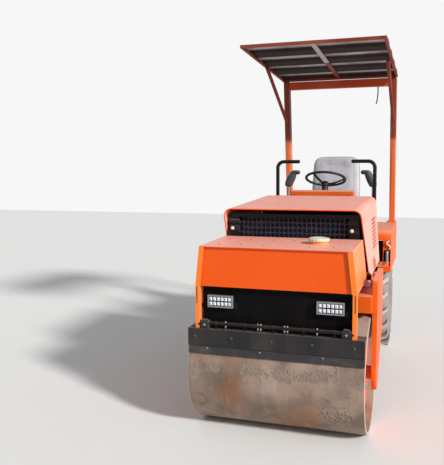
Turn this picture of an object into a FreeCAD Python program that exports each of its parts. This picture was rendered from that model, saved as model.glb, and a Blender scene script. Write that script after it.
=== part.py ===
import FreeCAD, Part
import math
import os
import re
import Sketcher

# Articulated road roller: a smooth drum in front, two lugged tyres behind, a canopy over the seat.
# The row frame: +X is the machine's left, seen from the front as the right, +Y runs to the rear, +Z up.
# The origin is at the ground under the middle of the machine.

SIZES = [
    ("drumRadius", 420, "outer radius of the drum"),
    ("drumWidth", 1200, "width of the drum"),
    ("drumWall", 20, "wall of the drum's shell"),
    ("drumHeadInset", 62, "drum head's set-back from the shell's edge"),
    ("drumHeadWall", 14, "wall of a drum head"),
    ("drumHubRadius", 95, "radius of the bearing hub on a drum head"),
    ("drumShaftRadius", 45, "radius of the stub shaft that carries the drum"),
    ("pivotReach", 1400, "drum axis to the steering pivot"),
    ("axleArm", 800, "steering pivot to rear axle"),
    ("fenderRun", 580, "rear axle to the rear of the fenders"),
    ("runningGap", 10, "gap beside what turns"),
    ("pinClearance", 0.1, "radial clearance of a pin in its bore"),
    ("faceGap", 0.3, "gap between faces that slide on each other"),
    ("legThickness", 32, "thickness of a yoke leg"),
    ("legFront", 100, "leg's front edge, ahead of the drum axis"),
    ("legFootRadius", 115, "round foot of a leg about the drum axis"),
    ("legRear", 380, "drum axis to the rear end of a leg"),
    ("legRearEdge", 660, "height of a leg's lower edge at its rear end"),
    ("legRise", 115, "leg's top above the deck"),
    ("legCorner", 45, "rounding of a leg's upper corners"),
    ("eyeReach", 250, "drum axis to the lifting eye"),
    ("eyeDrop", 50, "lifting eye below the leg's top"),
    ("eyeBoreRadius", 20, "bore of a lifting eye"),
    ("deckGap", 30, "deck's underside above the drum"),
    ("deckHeight", 115, "height of the deck's box"),
    ("deckFront", 150, "deck's front edge, ahead of the drum axis"),
    ("deckRear", 800, "drum axis to the rear end of the deck"),
    ("beamBottom", 540, "height of the cross beam's lower face"),
    ("beamGap", 60, "cross beam behind the drum"),
    ("tankWidthTop", 1024, "width of the tank over its side plates, at the top"),
    ("tankSplay", 30, "how much further out each side plate is at the bottom"),
    ("tankFront", 400, "front of the tank's side plates, ahead of the drum axis"),
    ("tankRear", 188, "rear of the tank, behind the drum axis"),
    ("tankTop", 1320, "height of the tank's top"),
    ("tankBottom", 1045, "height of the tank's bottom"),
    ("tankPlate", 6, "thickness of the tank's side and cover plates"),
    ("tankRecess", 16, "front panel's set-back behind its frame"),
    ("tankFlange", 28, "width of the frame round the front panel"),
    ("strutDepth", 46, "depth of a front strut"),
    ("fillerReach", 90, "filler's place ahead of the drum axis"),
    ("fillerSide", 245, "filler's place beside the middle"),
    ("fillerNeckRadius", 62, "radius of the filler's neck"),
    ("fillerNeckHeight", 21, "height of the filler's neck"),
    ("fillerCapRadius", 72, "radius of the filler's cap"),
    ("fillerCapHeight", 18, "height of the filler's cap"),
    ("lightPanelSetback", 60, "light panel's set-back from the tank's front"),
    ("lampWidth", 178, "width of a work light"),
    ("lampHeight", 84, "height of a work light"),
    ("lampDepth", 44, "depth of a work light"),
    ("lampSide", 372, "work light's middle from the machine's middle"),
    ("lampLevel", 942, "height of a work light's middle"),
    ("scraperHeight", 112, "height of the scraper's beam"),
    ("scraperLevel", 640, "height of the beam's lower edge"),
    ("scraperWall", 8, "wall of the scraper's beam"),
    ("scraperFlange", 112, "depth of the beam's upper flange"),
    ("bladeLap", 40, "how far the blade lies behind the beam"),
    ("bladeThickness", 8, "thickness of the scraper's rubber blade"),
    ("bladeDrop", 62, "blade's reach below the beam"),
    ("bladeGap", 5, "gap from the blade to the drum"),
    ("sprayRadius", 13, "radius of the spray pipe"),
    ("sprayLevel", 790, "height of the spray pipe"),
    ("sprayReach", 17, "spray pipe behind the scraper's beam"),
    ("hoodWidth", 1006, "width of the hood"),
    ("hoodFront", 129, "hood's front edge, behind the drum axis"),
    ("hoodSetback", 110, "hood's rear edge ahead of the steering pivot"),
    ("hoodTop", 1534, "height of the hood's top at its front"),
    ("hoodRise", 28, "rise of the hood's top towards its rear"),
    ("hoodSplay", 40, "how much further out each side of the hood is at the bottom"),
    ("hoodBottom", 1000, "height of the hood's lower edge"),
    ("hoodRake", 290, "how far the hood's side edge runs back on its way down"),
    ("hoodShoulder", 58, "radius of the hood's shoulders"),
    ("hoodWall", 8, "wall of the hood"),
    ("louvreCount", 8, "louvre slots in each side of the hood"),
    ("louvrePitch", 32, "pitch of the louvre slots"),
    ("louvreLength", 300, "length of a louvre slot"),
    ("louvreInset", 190, "louvre slots ahead of the hood's rear edge"),
    ("louvreDrop", 134, "top louvre slot below the hood's top"),
    ("louvreHeight", 12, "height of a louvre slot"),
    ("hingeRadius", 12, "outer radius of a hood hinge's knuckle"),
    ("hingePinRadius", 6, "radius of a hood hinge's pin"),
    ("hingeLength", 90, "length of a hood hinge's knuckle"),
    ("hingeSide", 330, "hinge's place beside the middle"),
    ("grilleSetback", 75, "grille's place behind the hood's front edge"),
    ("grilleBar", 5, "thickness of a bar of the mesh"),
    ("grillePitch", 34, "pitch of the mesh"),
    ("grilleRim", 26, "rim round the mesh"),
    ("grilleDepth", 20, "depth of the grille's frame"),
    ("grilleDrop", 24, "grille's top below the hood's inside, for its shoulders"),
    ("grilleLap", 70, "grille's lower edge below the tank's top"),
    ("cornerBlock", 74, "width of the blocks beside the mesh"),
    ("radiatorInset", 110, "radiator's side in from the hood's side"),
    ("radiatorGap", 40, "radiator behind the grille's front"),
    ("radiatorDepth", 80, "depth of the radiator"),
    ("engineWidth", 460, "width of the engine block"),
    ("engineFrontGap", 196, "engine block behind the radiator"),
    ("engineRearGap", 170, "engine block ahead of the bulkhead"),
    ("engineHeight", 400, "height of the engine block"),
    ("spineWidth", 440, "width of the front chassis behind the drum"),
    ("spineBottom", 560, "height of the chassis' lower face at the pivot"),
    ("spineTop", 880, "height of the chassis' upper face at the pivot"),
    ("earThickness", 40, "thickness of a pivot ear"),
    ("earRadius", 78, "outer radius of the pivot's ears"),
    ("earTongue", 60, "length of a pivot ear's tongue ahead of its ring"),
    ("pivotPinRadius", 32, "radius of the pivot's pin"),
    ("cylinderRadius", 30, "radius of the steering cylinder"),
    ("cylinderRodRadius", 15, "radius of the cylinder's rod"),
    ("cylinderSide", 270, "steering cylinder beside the middle"),
    ("cylinderRearArm", 450, "steering pivot to the cylinder's rear eye"),
    ("cylinderFrontArm", 280, "steering pivot to the cylinder's rod eye"),
    ("cylinderLevel", 470, "height of the steering cylinder"),
    ("cylinderBarrel", 440, "length of the cylinder's barrel"),
    ("cylinderNeck", 60, "rear eye to the barrel's closed end"),
    ("cylinderRodLength", 470, "length of the rod up to its eye"),
    ("cylinderEyeRadius", 28, "outer radius of the cylinder's eyes"),
    ("cylinderEyeHeight", 30, "height of the cylinder's eyes"),
    ("cylinderPinRadius", 12, "radius of the cylinder's pins"),
    ("bracketPlate", 15, "thickness of the rod bracket's lower plate"),
    ("bracketGap", 5, "gap above and below the rod's eye in its bracket"),
    ("chassisWidth", 460, "width of the rear chassis"),
    ("chassisSetback", 100, "steering pivot to the front of the rear chassis"),
    ("chassisBottom", 560, "height of the rear chassis' lower face"),
    ("floorLevel", 900, "height of the operator's floor"),
    ("floorThickness", 20, "thickness of the floor"),
    ("floorWidth", 1180, "width of the floor"),
    ("floorSetback", 240, "steering pivot to the floor's front edge"),
    ("floorCorner", 100, "width of the floor's cut front corners"),
    ("floorCornerDepth", 60, "depth of the floor's cut front corners"),
    ("tyreRadius", 450, "radius over the tyre's lugs"),
    ("tyreWidth", 230, "width of a tyre"),
    ("tyreLug", 26, "height of a tyre's lugs"),
    ("lugCount", 18, "lugs on each side of a tyre"),
    ("lugWidth", 34, "width of a lug"),
    ("rimRadius", 205, "radius of a wheel's rim at the bead"),
    ("trackWidth", 950, "middle of one tyre to middle of the other"),
    ("axleRadius", 62, "radius of the axle's housing"),
    ("hubInset", 30, "wheel disc's inner face from the tyre's middle"),
    ("saddleWidth", 70, "width of the axle's saddles"),
    ("fenderLead", 330, "front of a fender ahead of the rear axle"),
    ("fenderTop", 1200, "height of a fender's top"),
    ("fenderSkirt", 400, "depth of a fender's outer skirt"),
    ("fenderCorner", 90, "rounding of a fender's upper corners"),
    ("fenderWall", 6, "wall of a fender"),
    ("fenderFace", 530, "inner edge of a fender's front plate from the middle"),
    ("fenderWindow", 60, "width of the window in a fender's front plate"),
    ("fenderOuter", 604, "fender's outer face from the middle"),
    ("fenderInner", 340, "fender's inner edge from the middle"),
    ("postWidth", 58, "width of a canopy post"),
    ("postDepth", 100, "depth of a canopy post"),
    ("postOuter", 588, "post's outer face from the middle"),
    ("padHeight", 5, "thickness of the pads between posts and canopy"),
    ("postLean", 200, "how far a post leans forward on its way up"),
    ("postSetback", 60, "post foot's middle ahead of the fender's rear"),
    ("beamHeight", 80, "height of the beam between the posts"),
    ("canopyWidth", 1196, "width of the canopy"),
    ("canopyLength", 1620, "length of the canopy"),
    ("canopySetback", 20, "canopy's rear edge ahead of the post tops' middle"),
    ("canopyFrontTop", 2862, "height of the canopy's front edge"),
    ("canopyRearTop", 2752, "height of the canopy's rear edge"),
    ("canopyBar", 42, "depth of the canopy's roof and frame together"),
    ("canopySheet", 3, "thickness of the canopy's roof sheet"),
    ("canopyRib", 20, "depth of the roof sheet's folds"),
    ("canopyFolds", 4, "number of raised folds in the roof sheet"),
    ("canopyStrap", 40, "width of the strap under the roof"),
    ("canopyStrapDepth", 8, "thickness of the strap under the roof"),
    ("braceRadius", 17, "radius of a canopy brace"),
    ("braceSetback", 760, "canopy's front edge to a brace's upper end"),
    ("braceFoot", 2280, "height of a brace's lower end"),
    ("consoleWidth", 570, "width of the dash"),
    ("consoleSetback", 75, "steering pivot to the dash"),
    ("consoleDepth", 150, "depth of the dash"),
    ("consoleTop", 1602, "height of the dash"),
    ("wheelSetback", 290, "steering pivot to the steering wheel's middle"),
    ("wheelLevel", 1700, "height of the steering wheel's middle"),
    ("wheelRadius", 195, "radius of the steering wheel at its rim's outside"),
    ("wheelGrip", 13, "radius of the steering wheel's rim"),
    ("wheelTilt", 22, "steering wheel's tilt towards the seat"),
    ("columnRadius", 30, "radius of the steering column"),
    ("columnLength", 230, "length of the steering column"),
    ("seatWidth", 480, "width of the seat"),
    ("seatSetback", 90, "rear axle to the seat's back"),
    ("seatLevel", 1330, "height of the seat's base"),
    ("seatInset", 20, "seat base's side in from the cushion's"),
    ("cushionHeight", 110, "thickness of the seat's cushion"),
    ("cushionDepth", 440, "depth of the seat's cushion"),
    ("backrestHeight", 480, "height of the seat's backrest"),
    ("backrestDepth", 100, "thickness of the seat's backrest"),
    ("railRadius", 17, "radius of a handrail"),
    ("railSide", 458, "handrail's post beside the middle"),
    ("railSetback", 264, "steering pivot to the handrails"),
    ("railTop", 1864, "height of the handrails' top"),
    ("railInner", 245, "handrail's free end beside the middle"),
    ("leverSide", 415, "travel lever beside the middle"),
    ("leverSetback", 330, "travel levers ahead of the seat's back"),
    ("leverTop", 1760, "height of the travel levers"),
    ("leverRadius", 9, "radius of a travel lever's rod"),
    ("rearTankGap", 14, "gap from the rear tank to a fender"),
    ("rearTankTop", 1300, "height of the rear tank"),
    ("towBoreRadius", 16, "bore of the towing eye"),
    ("towPlate", 16, "thickness of a towing plate"),
    ("towLength", 58, "length of the towing plate"),
    ("towHeight", 120, "height of the towing plate"),
    ("towLevel", 680, "height of the towing eye"),
]

# Places that follow from the sizes, so that pieces keep together
DERIVED = {
    "wheelBase": "(pivotReach+axleArm)",
    "fenderRear": "(wheelBase+fenderRun)",
    "fenderFront": "(wheelBase-fenderLead)",
    "hoodRear": "(pivotReach-hoodSetback)",
    "chassisFront": "(pivotReach+chassisSetback)",
    "cylinderRear": "(pivotReach+cylinderRearArm)",
    "cylinderFront": "(pivotReach-cylinderFrontArm)",
    "floorFront": "(pivotReach+floorSetback)",
    "consoleFront": "(pivotReach+consoleSetback)",
    "wheelReach": "(pivotReach+wheelSetback)",
    "railReach": "(pivotReach+railSetback)",
    "seatReach": "(wheelBase+seatSetback)",
    "leverReach": "(seatReach-leverSetback)",
    "canopyRear": "(fenderRear-postSetback-postLean-canopySetback)",
    "canopyFront": "(canopyRear-canopyLength)",
    "postTop": "(canopyRearTop-canopyBar-padHeight)",
    "braceReach": "(canopyFront+braceSetback)",
}

doc = FreeCAD.newDocument("RoadRoller")
sheet = doc.addObject("Spreadsheet::Sheet", "Sizes")
for row, (alias, value, note) in enumerate(SIZES, start=1):
    sheet.set(f"A{row}", note)
    sheet.set(f"B{row}", str(value))
    sheet.setAlias(f"B{row}", alias)
doc.recompute()
ALIASES = {alias for alias, value, note in SIZES}

# Places that many pieces share, as expressions of the sizes
DRUM_Y = "((drumRadius-fenderRear)/2)"
REAR_Y = "((drumRadius+fenderRear)/2)"
DECK_BOTTOM = "(2*drumRadius+deckGap)"
DECK_TOP = "(2*drumRadius+deckGap+deckHeight)"
LEG_INNER = "(drumWidth/2+runningGap)"


def behind(size):
    """Place along Y of a point that lies this far behind the drum's axis."""
    return f"({DRUM_Y}+({size}))"


PIVOT_Y = behind("pivotReach")
AXLE_Y = behind("wheelBase")


def bound(text):
    """Expression with derived reaches written out and each size's name pointed at the sheet."""
    text = str(text)
    while any(name in DERIVED for name in re.findall(r"[A-Za-z]\w*", text)):
        text = re.sub(r"[A-Za-z]\w*", lambda m: DERIVED.get(m.group(), m.group()), text)
    return re.sub(r"[A-Za-z]\w*", lambda m: "Sizes." + m.group() if m.group() in ALIASES else m.group(), text)


def value_of(text):
    """Number that an expression of the sizes gives now."""
    return float(sheet.evalExpression(bound(text)))


def bind(obj, **values):
    """Bind properties of an object to expressions of the sizes."""
    for name, text in values.items():
        obj.setExpression(name, bound(text))


def place(obj, x="0", y="0", z="0"):
    """Put an object's origin at a place given by expressions."""
    for axis, text in zip("xyz", (x, y, z)):
        obj.setExpression(f".Placement.Base.{axis}", bound(text))
    return obj


def label(obj, name):
    """Give an object the name that its file gets."""
    obj.Label = name
    return obj


def box(name, x, y, z):
    """Box between two places on each axis, each given as a pair of expressions."""
    obj = doc.addObject("Part::Box", name)
    bind(obj, Length=f"({x[1]})-({x[0]})", Width=f"({y[1]})-({y[0]})", Height=f"({z[1]})-({z[0]})")
    return place(obj, x[0], y[0], z[0])


AXIS_TURN = {
    "X": FreeCAD.Rotation(FreeCAD.Vector(0, 1, 0), 90),
    "Y": FreeCAD.Rotation(FreeCAD.Vector(1, 0, 0), -90),
    "Z": FreeCAD.Rotation(),
}


def cylinder(name, radius, length, start, axis="Z"):
    """Cylinder from a start place along a row axis."""
    obj = doc.addObject("Part::Cylinder", name)
    bind(obj, Radius=radius, Height=length)
    obj.Placement = FreeCAD.Placement(FreeCAD.Vector(), AXIS_TURN[axis])
    return place(obj, *start)


def plane_of(body, role):
    """A body's own origin plane or axis."""
    return next(item for item in body.Origin.OriginFeatures if item.Role == role)


def outline(body, name, plane, points, offset="0"):
    """Sketch of a closed outline whose corners are bound to expressions."""
    sketch = body.newObject("Sketcher::SketchObject", name)
    sketch.AttachmentSupport = [(plane_of(body, plane), "")]
    sketch.MapMode = "FlatFace"
    sketch.setExpression(".AttachmentOffset.Base.z", bound(offset))
    corners = [FreeCAD.Vector(value_of(u), value_of(v), 0) for u, v in points]
    count = len(corners)
    for index in range(count):
        sketch.addGeometry(Part.LineSegment(corners[index], corners[(index + 1) % count]), False)
    for index in range(count):
        sketch.addConstraint(Sketcher.Constraint("Coincident", index, 2, (index + 1) % count, 1))
    for index, (u, v) in enumerate(points):
        for kind, text in (("DistanceX", u), ("DistanceY", v)):
            number = sketch.addConstraint(Sketcher.Constraint(kind, -1, 1, index, 1, value_of(text)))
            sketch.setExpression(f"Constraints[{number}]", bound(text))
    return sketch


def prism(name, plane, points, start, end):
    """Body that carries an outline from start to end along the plane's row axis."""
    body = doc.addObject("PartDesign::Body", name)
    offset = f"-({end})" if plane == "XZ_Plane" else start
    sketch = outline(body, name + "Sketch", plane, points, offset)
    pad = body.newObject("PartDesign::Pad", name + "Pad")
    pad.Profile = sketch
    bind(pad, Length=f"({end})-({start})")
    return body


def turned(name, points, centre):
    """Body of revolution about an axis along X through a place; points are (along X, radius)."""
    body = doc.addObject("PartDesign::Body", name)
    sketch = outline(body, name + "Sketch", "XY_Plane", points)
    turn = body.newObject("PartDesign::Revolution", name + "Turn")
    turn.Profile = sketch
    turn.ReferenceAxis = (sketch, ["H_Axis"])
    turn.Angle = 360
    return place(body, *centre)


def cut(name, base, *tools):
    """Base less its tools."""
    tool = tools[0] if len(tools) == 1 else group(name + "Tools", *tools)
    obj = doc.addObject("Part::Cut", name)
    obj.Base = base
    obj.Tool = tool
    return obj


def fuse(name, *parts):
    """Pieces that are welded into one."""
    obj = doc.addObject("Part::MultiFuse", name)
    obj.Shapes = list(parts)
    obj.Refine = True
    return obj


def group(name, *parts):
    """Pieces that don't touch, kept as one object."""
    obj = doc.addObject("Part::Compound", name)
    obj.Links = list(parts)
    return obj


def mirrored(name, source):
    """The same piece on the other side of the machine."""
    obj = doc.addObject("Part::Mirroring", name)
    obj.Source = source
    obj.Normal = FreeCAD.Vector(1, 0, 0)
    obj.Base = FreeCAD.Vector(0, 0, 0)
    return obj


def both_sides(name, piece):
    """One node with a piece and its mirror image."""
    return group(name, piece, mirrored(name + "Mirror", piece))


def rounded(name, base, radius, chosen):
    """Base with the edges that the test picks rounded."""
    doc.recompute()
    obj = doc.addObject("Part::Fillet", name)
    obj.Base = base
    r = value_of(radius)
    obj.Edges = [(n, r, r) for n, edge in enumerate(base.Shape.Edges, start=1) if chosen(edge)]
    return obj


def at_top(axis, level, y=None):
    """Test for straight edges near a row axis' direction that lie at or above a level, at one place along Y if given."""
    way = {"X": FreeCAD.Vector(1, 0, 0), "Y": FreeCAD.Vector(0, 1, 0)}[axis]

    def chosen(edge):
        if len(edge.Vertexes) != 2 or edge.Curve.TypeId != "Part::GeomLine":
            return False
        ends = [vertex.Point for vertex in edge.Vertexes]
        run = ends[1] - ends[0]
        if run.Length < 1 or abs(run.normalize() * way) < 0.99 or min(end.z for end in ends) < value_of(level) - 0.5:
            return False
        return y is None or abs(ends[0].y - value_of(y)) < 0.5
    return chosen


def along(axis):
    """Test for straight edges that run along a row axis."""
    wanted = {"X": FreeCAD.Vector(1, 0, 0), "Y": FreeCAD.Vector(0, 1, 0), "Z": FreeCAD.Vector(0, 0, 1)}[axis]

    def chosen(edge):
        if len(edge.Vertexes) != 2 or edge.Curve.TypeId != "Part::GeomLine":
            return False
        run = edge.Vertexes[1].Point - edge.Vertexes[0].Point
        return run.Length > 1 and abs(abs(run.normalize() * wanted) - 1) < 1e-6
    return chosen


def bent_tube(name, radius, places, bend):
    """Round bar along straight runs joined by arcs of one bend radius."""
    corners = [FreeCAD.Vector(*(value_of(text) for text in point)) for point in places]
    edges = []
    last = corners[0]
    for before, here, after in zip(corners, corners[1:], corners[2:]):
        back = (before - here).normalize()
        ahead = (after - here).normalize()
        half = math.acos(max(-1.0, min(1.0, back * ahead))) / 2
        reach = value_of(bend) / math.tan(half)
        first = here + back * reach
        second = here + ahead * reach
        middle_way = (back + ahead).normalize()
        middle = here + middle_way * (value_of(bend) / math.sin(half) - value_of(bend))
        edges.append(Part.LineSegment(last, first).toShape())
        edges.append(Part.Arc(first, middle, second).toShape())
        last = second
    edges.append(Part.LineSegment(last, corners[-1]).toShape())
    path = Part.Wire(edges)
    start = (corners[1] - corners[0]).normalize()
    ring = Part.Wire(Part.makeCircle(value_of(radius), corners[0], start))
    obj = doc.addObject("Part::Feature", name)
    obj.Shape = path.makePipeShell([ring], True, False)
    return obj


nodes = []


def node(name, obj):
    """Register a finished sub-part under its node name."""
    nodes.append(label(obj, name))
    return obj


# Drum: a shell with a set-in head at each end and a stub shaft in each head
DRUM_CENTRE = ("0", DRUM_Y, "drumRadius")
node("drum_shell", turned("DrumShell", [
    ("-drumWidth/2", "drumRadius-drumWall"),
    ("drumWidth/2", "drumRadius-drumWall"),
    ("drumWidth/2", "drumRadius"),
    ("-drumWidth/2", "drumRadius"),
], DRUM_CENTRE))
HEAD_OUTER = "drumWidth/2-drumHeadInset"
HEAD_INNER = "drumWidth/2-drumHeadInset-drumHeadWall"
drum_head = turned("DrumHead", [
    (HEAD_INNER, "0"),
    (f"{LEG_INNER}-faceGap", "0"),
    (f"{LEG_INNER}-faceGap", "drumShaftRadius"),
    (f"{HEAD_OUTER}+26", "drumShaftRadius"),
    (f"{HEAD_OUTER}+20", "drumHubRadius"),
    (HEAD_OUTER, "drumHubRadius"),
    (HEAD_OUTER, "drumRadius-drumWall"),
    (HEAD_INNER, "drumRadius-drumWall"),
], DRUM_CENTRE)
node("drum_heads", both_sides("DrumHeads", drum_head))

# Yoke legs: plates outside the drum with a round foot at the axis and a lifting eye near the top
LEG_TOP = f"({DECK_TOP}+legRise)"
leg_plate = prism("LegPlate", "YZ_Plane", [
    (behind("-legFront"), LEG_TOP),
    (behind("-legFront"), "drumRadius"),
    (behind("0"), "drumRadius-legFootRadius/2"),
    (behind("legFootRadius"), "drumRadius"),
    (behind("legRear"), "legRearEdge"),
    (behind("legRear"), LEG_TOP),
], LEG_INNER, f"{LEG_INNER}+legThickness")
leg_foot = cylinder("LegFoot", "legFootRadius", "legThickness", (LEG_INNER, DRUM_Y, "drumRadius"), "X")
leg_bore = cylinder("LegBore", "eyeBoreRadius", "legThickness+2",
                    (f"{LEG_INNER}-1", behind("eyeReach"), f"{LEG_TOP}-eyeDrop"), "X")
leg_weld = fuse("LegWeld", rounded("LegCorners", leg_plate, "legCorner", at_top("X", LEG_TOP)), leg_foot)
node("yoke_legs", both_sides("YokeLegs", cut("LegRight", leg_weld, leg_bore)))

# Deck: the box over the drum that joins the legs, and the cross beam behind the drum
node("front_deck", box("FrontDeck", (f"-{LEG_INNER}", LEG_INNER), (behind("-deckFront"), behind("deckRear")),
                       (DECK_BOTTOM, DECK_TOP)))
node("front_cross_beam", box("FrontCrossBeam", (f"-{LEG_INNER}", LEG_INNER),
                             (behind("drumRadius+beamGap"), behind("deckRear")), ("beamBottom", DECK_BOTTOM)))

# Front spine: from the cross beam back to two ears round the pivot's pin
TONGUE_Y = behind("pivotReach-earRadius-earTongue")
spine = box("SpineBox", ("-spineWidth/2", "spineWidth/2"), (behind("deckRear"), TONGUE_Y),
            ("spineBottom-earThickness", "spineTop"))
ears = []
for tag, low in (("Lower", "spineBottom-earThickness"), ("Upper", "spineTop-earThickness")):
    tongue = prism(f"Ear{tag}Tongue", "XY_Plane", [
        ("-earRadius*1.6", f"{TONGUE_Y}-2"),
        ("earRadius*1.6", f"{TONGUE_Y}-2"),
        ("earRadius", PIVOT_Y),
        ("-earRadius", PIVOT_Y),
    ], low, f"{low}+earThickness")
    ring = cylinder(f"Ear{tag}Ring", "earRadius", "earThickness", ("0", PIVOT_Y, low))
    ears += [tongue, ring]
ear_bore = cylinder("EarBore", "pivotPinRadius+pinClearance", "spineTop-spineBottom+earThickness+2",
                    ("0", PIVOT_Y, "spineBottom-earThickness-1"))
node("front_spine", cut("FrontSpine", fuse("SpineWeld", spine, *ears), ear_bore))

# Water tank over the drum: a tapered box between side plates, under a cover plate
TANK_HALF_TOP = "(tankWidthTop/2-tankPlate)"
TANK_HALF_BOTTOM = "(tankWidthTop/2+tankSplay-tankPlate)"
TANK_TOP_INNER = "(tankTop-tankPlate)"
node("water_tank", prism("WaterTank", "XZ_Plane", [
    (f"-{TANK_HALF_BOTTOM}", "tankBottom"),
    (TANK_HALF_BOTTOM, "tankBottom"),
    (TANK_HALF_TOP, TANK_TOP_INNER),
    (f"-{TANK_HALF_TOP}", TANK_TOP_INNER),
], behind("tankRecess-tankFront"), behind("tankRear")))
node("tank_cover", prism("TankCover", "XZ_Plane", [
    (f"-{TANK_HALF_TOP}-tankPlate", TANK_TOP_INNER),
    (f"{TANK_HALF_TOP}+tankPlate", TANK_TOP_INNER),
    (f"{TANK_HALF_TOP}+tankPlate", "tankTop"),
    (f"-{TANK_HALF_TOP}-tankPlate", "tankTop"),
], behind("-tankFront"), behind("tankRear")))
tank_side = prism("TankSide", "XZ_Plane", [
    (TANK_HALF_BOTTOM, "tankBottom"),
    (f"{TANK_HALF_BOTTOM}+tankPlate", "tankBottom"),
    (f"{TANK_HALF_TOP}+tankPlate", TANK_TOP_INNER),
    (TANK_HALF_TOP, TANK_TOP_INNER),
], behind("-tankFront"), behind("tankRear"))
tank_flange = prism("TankFlange", "XZ_Plane", [
    (f"{TANK_HALF_BOTTOM}-tankFlange", "tankBottom"),
    (f"{TANK_HALF_BOTTOM}+1", "tankBottom"),
    (f"{TANK_HALF_TOP}+1", TANK_TOP_INNER),
    (f"{TANK_HALF_TOP}-tankFlange", TANK_TOP_INNER),
], behind("-tankFront"), behind("tankPlate-tankFront"))
STRUT_OUTER = f"{TANK_HALF_BOTTOM}+tankPlate"
strut = box("TankStrut", (f"{STRUT_OUTER}-tankFlange", STRUT_OUTER),
            (behind("-tankFront"), behind("strutDepth-tankFront")), ("scraperLevel+scraperHeight", "tankBottom"))
node("tank_side_plates", both_sides("TankSides", fuse("TankSideRight", tank_side, tank_flange, strut)))
filler = ("fillerSide", behind("-fillerReach"))
neck = cylinder("FillerNeck", "fillerNeckRadius", "fillerNeckHeight", (*filler, "tankTop"))
node("filler_neck", neck)
node("filler_cap", cylinder("FillerCap", "fillerCapRadius", "fillerCapHeight",
                            (*filler, "tankTop+fillerNeckHeight")))

# Light panel under the tank, its brackets to the deck, and two work lights
PANEL_FRONT = behind("lightPanelSetback-tankFront")
node("light_panel", box("LightPanel", (f"-{TANK_HALF_BOTTOM}+tankFlange", f"{TANK_HALF_BOTTOM}-tankFlange"),
                        (PANEL_FRONT, f"{PANEL_FRONT}+8"), ("sprayLevel", "tankBottom")))
lamp = box("LampBody", ("lampSide-lampWidth/2", "lampSide+lampWidth/2"),
           (f"{PANEL_FRONT}-lampDepth", PANEL_FRONT), ("lampLevel-lampHeight/2", "lampLevel+lampHeight/2"))
node("work_lights", both_sides("WorkLights", lamp))
tank_stay = box("TankStay", ("drumWidth/4", "drumWidth/4+60"), (behind("-deckFront"), behind("tankRear")),
                (DECK_TOP, "tankBottom"))
node("tank_stays", both_sides("TankStays", tank_stay))

# Scraper: a beam across the drum with a rubber blade under it, held by the struts
BEAM_HALF = "(drumWidth/2-4)"
BEAM_Y = behind("-sqrt(drumRadius^2-(scraperLevel-bladeDrop-drumRadius)^2)-bladeGap-bladeThickness")
node("scraper_beam", prism("ScraperBeam", "YZ_Plane", [
    (f"{BEAM_Y}-scraperWall", "scraperLevel"),
    (BEAM_Y, "scraperLevel"),
    (BEAM_Y, "scraperLevel+scraperHeight-scraperWall"),
    (f"{BEAM_Y}+scraperFlange", "scraperLevel+scraperHeight-scraperWall"),
    (f"{BEAM_Y}+scraperFlange", "scraperLevel+scraperHeight"),
    (f"{BEAM_Y}-scraperWall", "scraperLevel+scraperHeight"),
], f"-{BEAM_HALF}", BEAM_HALF))
node("scraper_blade", prism("ScraperBlade", "YZ_Plane", [
    (BEAM_Y, "scraperLevel+bladeLap"),
    (f"{BEAM_Y}+bladeThickness", "scraperLevel+bladeLap"),
    (f"{BEAM_Y}+bladeThickness", "scraperLevel-bladeDrop"),
    (BEAM_Y, "scraperLevel-bladeDrop"),
], f"-{BEAM_HALF}", BEAM_HALF))
spray_y = f"{BEAM_Y}+sprayReach"
node("spray_bar", cylinder("SprayBar", "sprayRadius", "tankWidthTop-2*tankFlange",
                           ("tankFlange-tankWidthTop/2", spray_y, "sprayLevel"), "X"))
bracket = box("ScraperBracket", (f"{STRUT_OUTER}-tankFlange-60", f"{STRUT_OUTER}-tankFlange"),
              (BEAM_Y, behind("strutDepth-tankFront")), ("scraperLevel+scraperHeight", "sprayLevel-sprayRadius"))
node("scraper_brackets", both_sides("ScraperBrackets", bracket))

# Engine block, radiator and the fixed grille in front of it
GRILLE_Y = behind("hoodFront+grilleSetback")
GRILLE_HALF = "(hoodWidth/2-hoodWall-runningGap)"
GRILLE_TOP = "(hoodTop-hoodWall-runningGap-grilleDrop)"
GRILLE_LOW = "(tankTop-grilleLap)"
RADIATOR_HALF = "(hoodWidth/2-radiatorInset)"
RADIATOR_Y = f"({GRILLE_Y}+radiatorGap)"
node("radiator", box("Radiator", (f"-{RADIATOR_HALF}", RADIATOR_HALF), (RADIATOR_Y, f"{RADIATOR_Y}+radiatorDepth"),
                     (DECK_TOP, f"{GRILLE_TOP}-runningGap")))
node("engine", box("Engine", ("-engineWidth/2", "engineWidth/2"),
                   (f"{RADIATOR_Y}+radiatorDepth+engineFrontGap", behind("hoodRear-40-engineRearGap")),
                   (DECK_TOP, f"{DECK_TOP}+engineHeight")))
frame_outer = box("GrilleOuter", (f"-{GRILLE_HALF}", GRILLE_HALF), (GRILLE_Y, f"{GRILLE_Y}+grilleDepth"),
                  (GRILLE_LOW, GRILLE_TOP))
frame_inner = box("GrilleInner", (f"-{GRILLE_HALF}+cornerBlock", f"{GRILLE_HALF}-cornerBlock"),
                  (f"{GRILLE_Y}-1", f"{GRILLE_Y}+grilleDepth+1"), (f"{GRILLE_LOW}+grilleRim", f"{GRILLE_TOP}-grilleRim"))
grille_bars = [cut("GrilleFrame", frame_outer, frame_inner)]
columns = int((value_of(GRILLE_HALF) - value_of("cornerBlock")) * 2 / value_of("grillePitch"))
for column in range(1, columns):
    middle = f"-{GRILLE_HALF}+cornerBlock+{column}*(2*{GRILLE_HALF}-2*cornerBlock)/{columns}"
    grille_bars.append(box(f"GrilleUpright{column}", (f"{middle}-grilleBar/2", f"{middle}+grilleBar/2"),
                           (f"{GRILLE_Y}+6", f"{GRILLE_Y}+6+grilleBar"),
                           (f"{GRILLE_LOW}+grilleRim-1", f"{GRILLE_TOP}-grilleRim+1")))
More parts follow.
